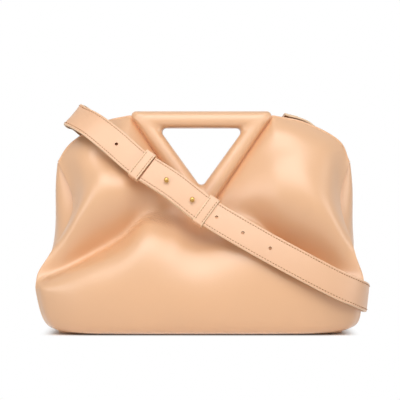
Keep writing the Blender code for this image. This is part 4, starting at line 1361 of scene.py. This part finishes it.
class BAG_OT_pocket(bpy.types.Operator):
    """Hanging suede pocket with its leather header, zip and pull."""
    bl_idname = "bag.pocket"
    bl_label = "Zip Pocket"

    def execute(self, context):
        shape, colours = context.scene.bag_shape, context.scene.bag_colours
        brass, thread = brass_material(colours), thread_material(colours)
        weave = weave_material(colours)
        suede = sheet_piece("pocket_suede", pocket_shape(), 1, shape.lining_thickness,
                            suede_material(colours), grow=0.0, round_edge=LINING_EDGE)
        self.hang(suede, "pocket_bag", "suede_lining")
        header = prism_piece("pocket_header_leather", HEADER_OUTLINE, *HEADER_DEPTHS, 1, HEADER_EDGE,
                             trim_leather(colours))
        self.hang(header, "pocket_header", "pale_leather")
        sides = even_places(shape.stitch_pitch / MM, POCKET_HALF_LENGTH - HEADER_SEAM_END)
        depth, rise = HEADER_DEPTHS[1] - HEADER_SEAM_SINK, POCKET_TOP_Z + HEADER_SEAM_RISE
        places = [np.array((side, depth, rise)) for side in sides]
        along, out = np.array((1.0, 0.0, 0.0)), np.array((0.0, 1.0, 0.0))
        seam = stitch_run("pocket_header_seam", places, [along] * len(places), [out] * len(places),
                          shape, thread)
        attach(seam, "back_half")
        for name, (low, high) in TAPE_HEIGHTS.items():
            ends = ((-POCKET_HALF_LENGTH, low), (POCKET_HALF_LENGTH, low),
                    (POCKET_HALF_LENGTH, high), (-POCKET_HALF_LENGTH, high))
            tape = prism_piece(f"{name}_weave", ends, *TAPE_DEPTHS, 1, TAPE_EDGE, weave)
            self.hang(tape, name, "zip_tape")
        for name, rise in TOOTH_MIDDLE.items():
            self.hang(self.teeth(f"{name}_row", rise, brass), name, "gold_brass")
        dress_node("zip_slider", brass)
        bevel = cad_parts["zip_slider"].modifiers.new("soft edges", "BEVEL")
        bevel.width, bevel.segments = SLIDER_EDGE, 2

        right = [(PULL_X + a, ZIP_Z + b) for a, b in PULL_OUTLINE]
        left = [(PULL_X - a, ZIP_Z + b) for a, b in reversed(PULL_OUTLINE)]
        pull = prism_piece("zip_pull_leather", right + left, *PULL_DEPTHS, 1, PULL_EDGE,
                           strap_leather(colours))
        middle = Vector((PULL_X, -sum(PULL_DEPTHS) / 2, ZIP_Z)) * MM
        punch(pull, PULL_EYE_RADIUS * MM, Matrix.Translation(middle) @ Matrix.Rotation(math.pi / 2, 4, "Y"))
        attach(pull, "pull")
        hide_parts("zip_pull")
        return {"FINISHED"}

    def hang(self, piece, node, slot):
        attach(piece, "back_half")
        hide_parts(node)

    def teeth(self, name, rise, brass):
        """Row of brass teeth: one bevelled block, repeated."""
        deselect()
        bpy.ops.mesh.primitive_cube_add(size=1)
        tooth = bpy.context.object
        tooth.name = name
        start = (-(TOOTH_COUNT - 1) / 2 * TOOTH_PITCH, -TOOTH_DEPTH, ZIP_Z + rise)
        tooth.data.transform(Matrix.Translation(Vector(start) * MM)
                             @ Matrix.Diagonal((*[part * MM for part in TOOTH_SIZE], 1.0)))
        apply_modifier(tooth, "BEVEL", width=TOOTH_EDGE, segments=1, limit_method="ANGLE")
        apply_modifier(tooth, "ARRAY", count=TOOTH_COUNT, use_relative_offset=False,
                       use_constant_offset=True, constant_offset_displace=(TOOTH_PITCH * MM, 0, 0))
        tooth.data.materials.append(brass)
        smooth(tooth, TOOTH_SMOOTH_ANGLE)
        return tooth


# Stage

CAMERA_DISTANCE = 1.75
CAMERA_ELEVATION = 1.0
CAMERA_TARGET_Z = 0.1395
IMAGE_WIDTH_AT_TARGET = 0.432
SENSOR_WIDTH = 36.0
# Half sizes of the floor under the bag, and how far its shadow reaches past them
FOOTPRINT = (0.147, 0.055)
SHADOW_REACH = 0.022
FLOOR_RADIUS = 6.0
FLOOR_SIDES = 96
# Just under the bag, so that the two faces don't coincide
FLOOR_Z = -0.0004
WORLD_TINT = (1.0, 0.99, 0.98, 1.0)
WORLD_LEVEL = 0.01
LAMP_TARGET = (0, 0, 0.1)
# Place, width and height, power
LAMPS = {
    "key_top": ((0, -1.05, 1.32), (1.6, 1.2), 21.0),
    "key_left": ((-1.2, -1.1, 0.55), (0.8, 0.8), 5.5),
    "rim_right": ((1.5, -0.6, 0.5), (0.6, 0.8), 4.5),
}


def seen_rays(tree):
    """1 for camera, glossy and clear rays, which show the backdrop and don't light the bag."""
    path = add_node(tree, "ShaderNodeLightPath")
    seen = math_node(tree, "MAXIMUM", path.outputs["Is Camera Ray"], path.outputs["Is Transmission Ray"])
    return math_node(tree, "MAXIMUM", seen, path.outputs["Is Glossy Ray"])


def white_for_camera(tree):
    """Background that is plain white where it is seen, and lights the bag at its own level."""
    seen = seen_rays(tree)
    lit = add_node(tree, "ShaderNodeBackground", {"Color": WORLD_TINT, "Strength": WORLD_LEVEL})
    white = add_node(tree, "ShaderNodeBackground", {"Color": (1.0, 1.0, 1.0, 1.0), "Strength": 1.0})
    mixed = add_node(tree, "ShaderNodeMixShader", {0: seen, 1: lit.outputs[0], 2: white.outputs[0]})
    return mixed.outputs[0]


def floor_material():
    """Matt white that takes the bag's shadow, and plain white further out where it is seen."""
    material, tree, shader = new_material("white_floor", roughness=0.9, Base_Color=(0.93, 0.93, 0.93, 1.0),
                                          Specular_IOR_Level=0.1)
    white = add_node(tree, "ShaderNodeEmission", {"Color": (1, 1, 1, 1), "Strength": 1.0})
    # distance outside the bag's footprint: there the shadow fades into the white
    size = add_node(tree, "ShaderNodeVectorMath", {0: object_place(tree)}, operation="ABSOLUTE")
    over = add_node(tree, "ShaderNodeVectorMath", {0: size.outputs["Vector"], 1: (*FOOTPRINT, 0.0)},
                    operation="SUBTRACT")
    over = add_node(tree, "ShaderNodeVectorMath", {0: over.outputs["Vector"], 1: (0.0, 0.0, 0.0)},
                    operation="MAXIMUM")
    away = add_node(tree, "ShaderNodeVectorMath", {0: over.outputs["Vector"]}, operation="LENGTH")
    far = add_node(tree, "ShaderNodeMapRange",
                   {"Value": away.outputs["Value"], "From Min": 0.0, "From Max": SHADOW_REACH},
                   interpolation_type="SMOOTHSTEP")
    factor = math_node(tree, "MULTIPLY", far.outputs["Result"], seen_rays(tree))
    mixed = add_node(tree, "ShaderNodeMixShader", {0: factor, 1: shader.outputs[0], 2: white.outputs[0]})
    tree.links.new(mixed.outputs[0], tree.nodes["Material Output"].inputs["Surface"])
    return material


def add_lamp(name, location, size, power):
    lamp = bpy.data.lights.new(name, "AREA")
    lamp.shape = "RECTANGLE"
    lamp.size, lamp.size_y = size
    lamp.energy = power
    holder = bpy.data.objects.new(name, lamp)
    bpy.context.scene.collection.objects.link(holder)
    holder.location = location
    holder.rotation_euler = (Vector(LAMP_TARGET) - Vector(location)).to_track_quat("-Z", "Y").to_euler()


class BAG_OT_stage(bpy.types.Operator):
    """White floor and backdrop, soft lamps and the camera."""
    bl_idname = "bag.stage"
    bl_label = "Stage"

    def execute(self, context):
        scene = context.scene
        scene.view_settings.view_transform = "Standard"
        world = bpy.data.worlds.new("studio")
        world.use_nodes = True
        tree = world.node_tree
        tree.links.new(white_for_camera(tree), tree.nodes["World Output"].inputs["Surface"])
        scene.world = world

        deselect()
        bpy.ops.mesh.primitive_circle_add(vertices=FLOOR_SIDES, radius=FLOOR_RADIUS, fill_type="NGON",
                                          location=(0, 0, FLOOR_Z))
        floor = bpy.context.object
        floor.name = "floor"
        floor.data.materials.append(floor_material())

        for name, (location, size, power) in LAMPS.items():
            add_lamp(name, location, size, power)

        camera_data = bpy.data.cameras.new("camera")
        camera_data.sensor_width = SENSOR_WIDTH
        camera_data.lens = SENSOR_WIDTH * CAMERA_DISTANCE / IMAGE_WIDTH_AT_TARGET
        camera = bpy.data.objects.new("camera", camera_data)
        scene.collection.objects.link(camera)
        target = Vector((0, 0, CAMERA_TARGET_Z))
        rise = math.radians(CAMERA_ELEVATION)
        back = Vector((0, -math.cos(rise), math.sin(rise)))
        camera.location = target + back * CAMERA_DISTANCE
        camera.rotation_euler = (-back).to_track_quat("-Z", "Y").to_euler()
        scene.camera = camera
        return {"FINISHED"}


class BAG_PT_sidebar(bpy.types.Panel):
    """Sizes, colours and the steps that build the bag."""
    bl_idname = "BAG_PT_sidebar"
    bl_label = "Bag"
    bl_space_type = "VIEW_3D"
    bl_region_type = "UI"
    bl_category = "Bag"

    def draw(self, context):
        layout = self.layout
        for group in (context.scene.bag_shape, context.scene.bag_colours):
            box = layout.box()
            for key in group.__annotations__:
                box.prop(group, key)
        for step in STEPS:
            layout.operator(step.bl_idname)


STEPS = (BAG_OT_base, BAG_OT_panels, BAG_OT_linings, BAG_OT_gussets, BAG_OT_handles, BAG_OT_mouth_edges,
         BAG_OT_straps, BAG_OT_anchors, BAG_OT_keepers, BAG_OT_studs, BAG_OT_pocket, BAG_OT_stage)
CLASSES = (BagShape, BagColours, *STEPS, BAG_PT_sidebar)


def register():
    for item in CLASSES:
        bpy.utils.register_class(item)
    bpy.types.Scene.bag_shape = bpy.props.PointerProperty(type=BagShape)
    bpy.types.Scene.bag_colours = bpy.props.PointerProperty(type=BagColours)


def unregister():
    del bpy.types.Scene.bag_colours
    del bpy.types.Scene.bag_shape
    for item in reversed(CLASSES):
        bpy.utils.unregister_class(item)


def main():
    register()
    for step in STEPS:
        group, name = step.bl_idname.split(".")
        getattr(getattr(bpy.ops, group), name)()


if __name__ == "__main__":
    main()
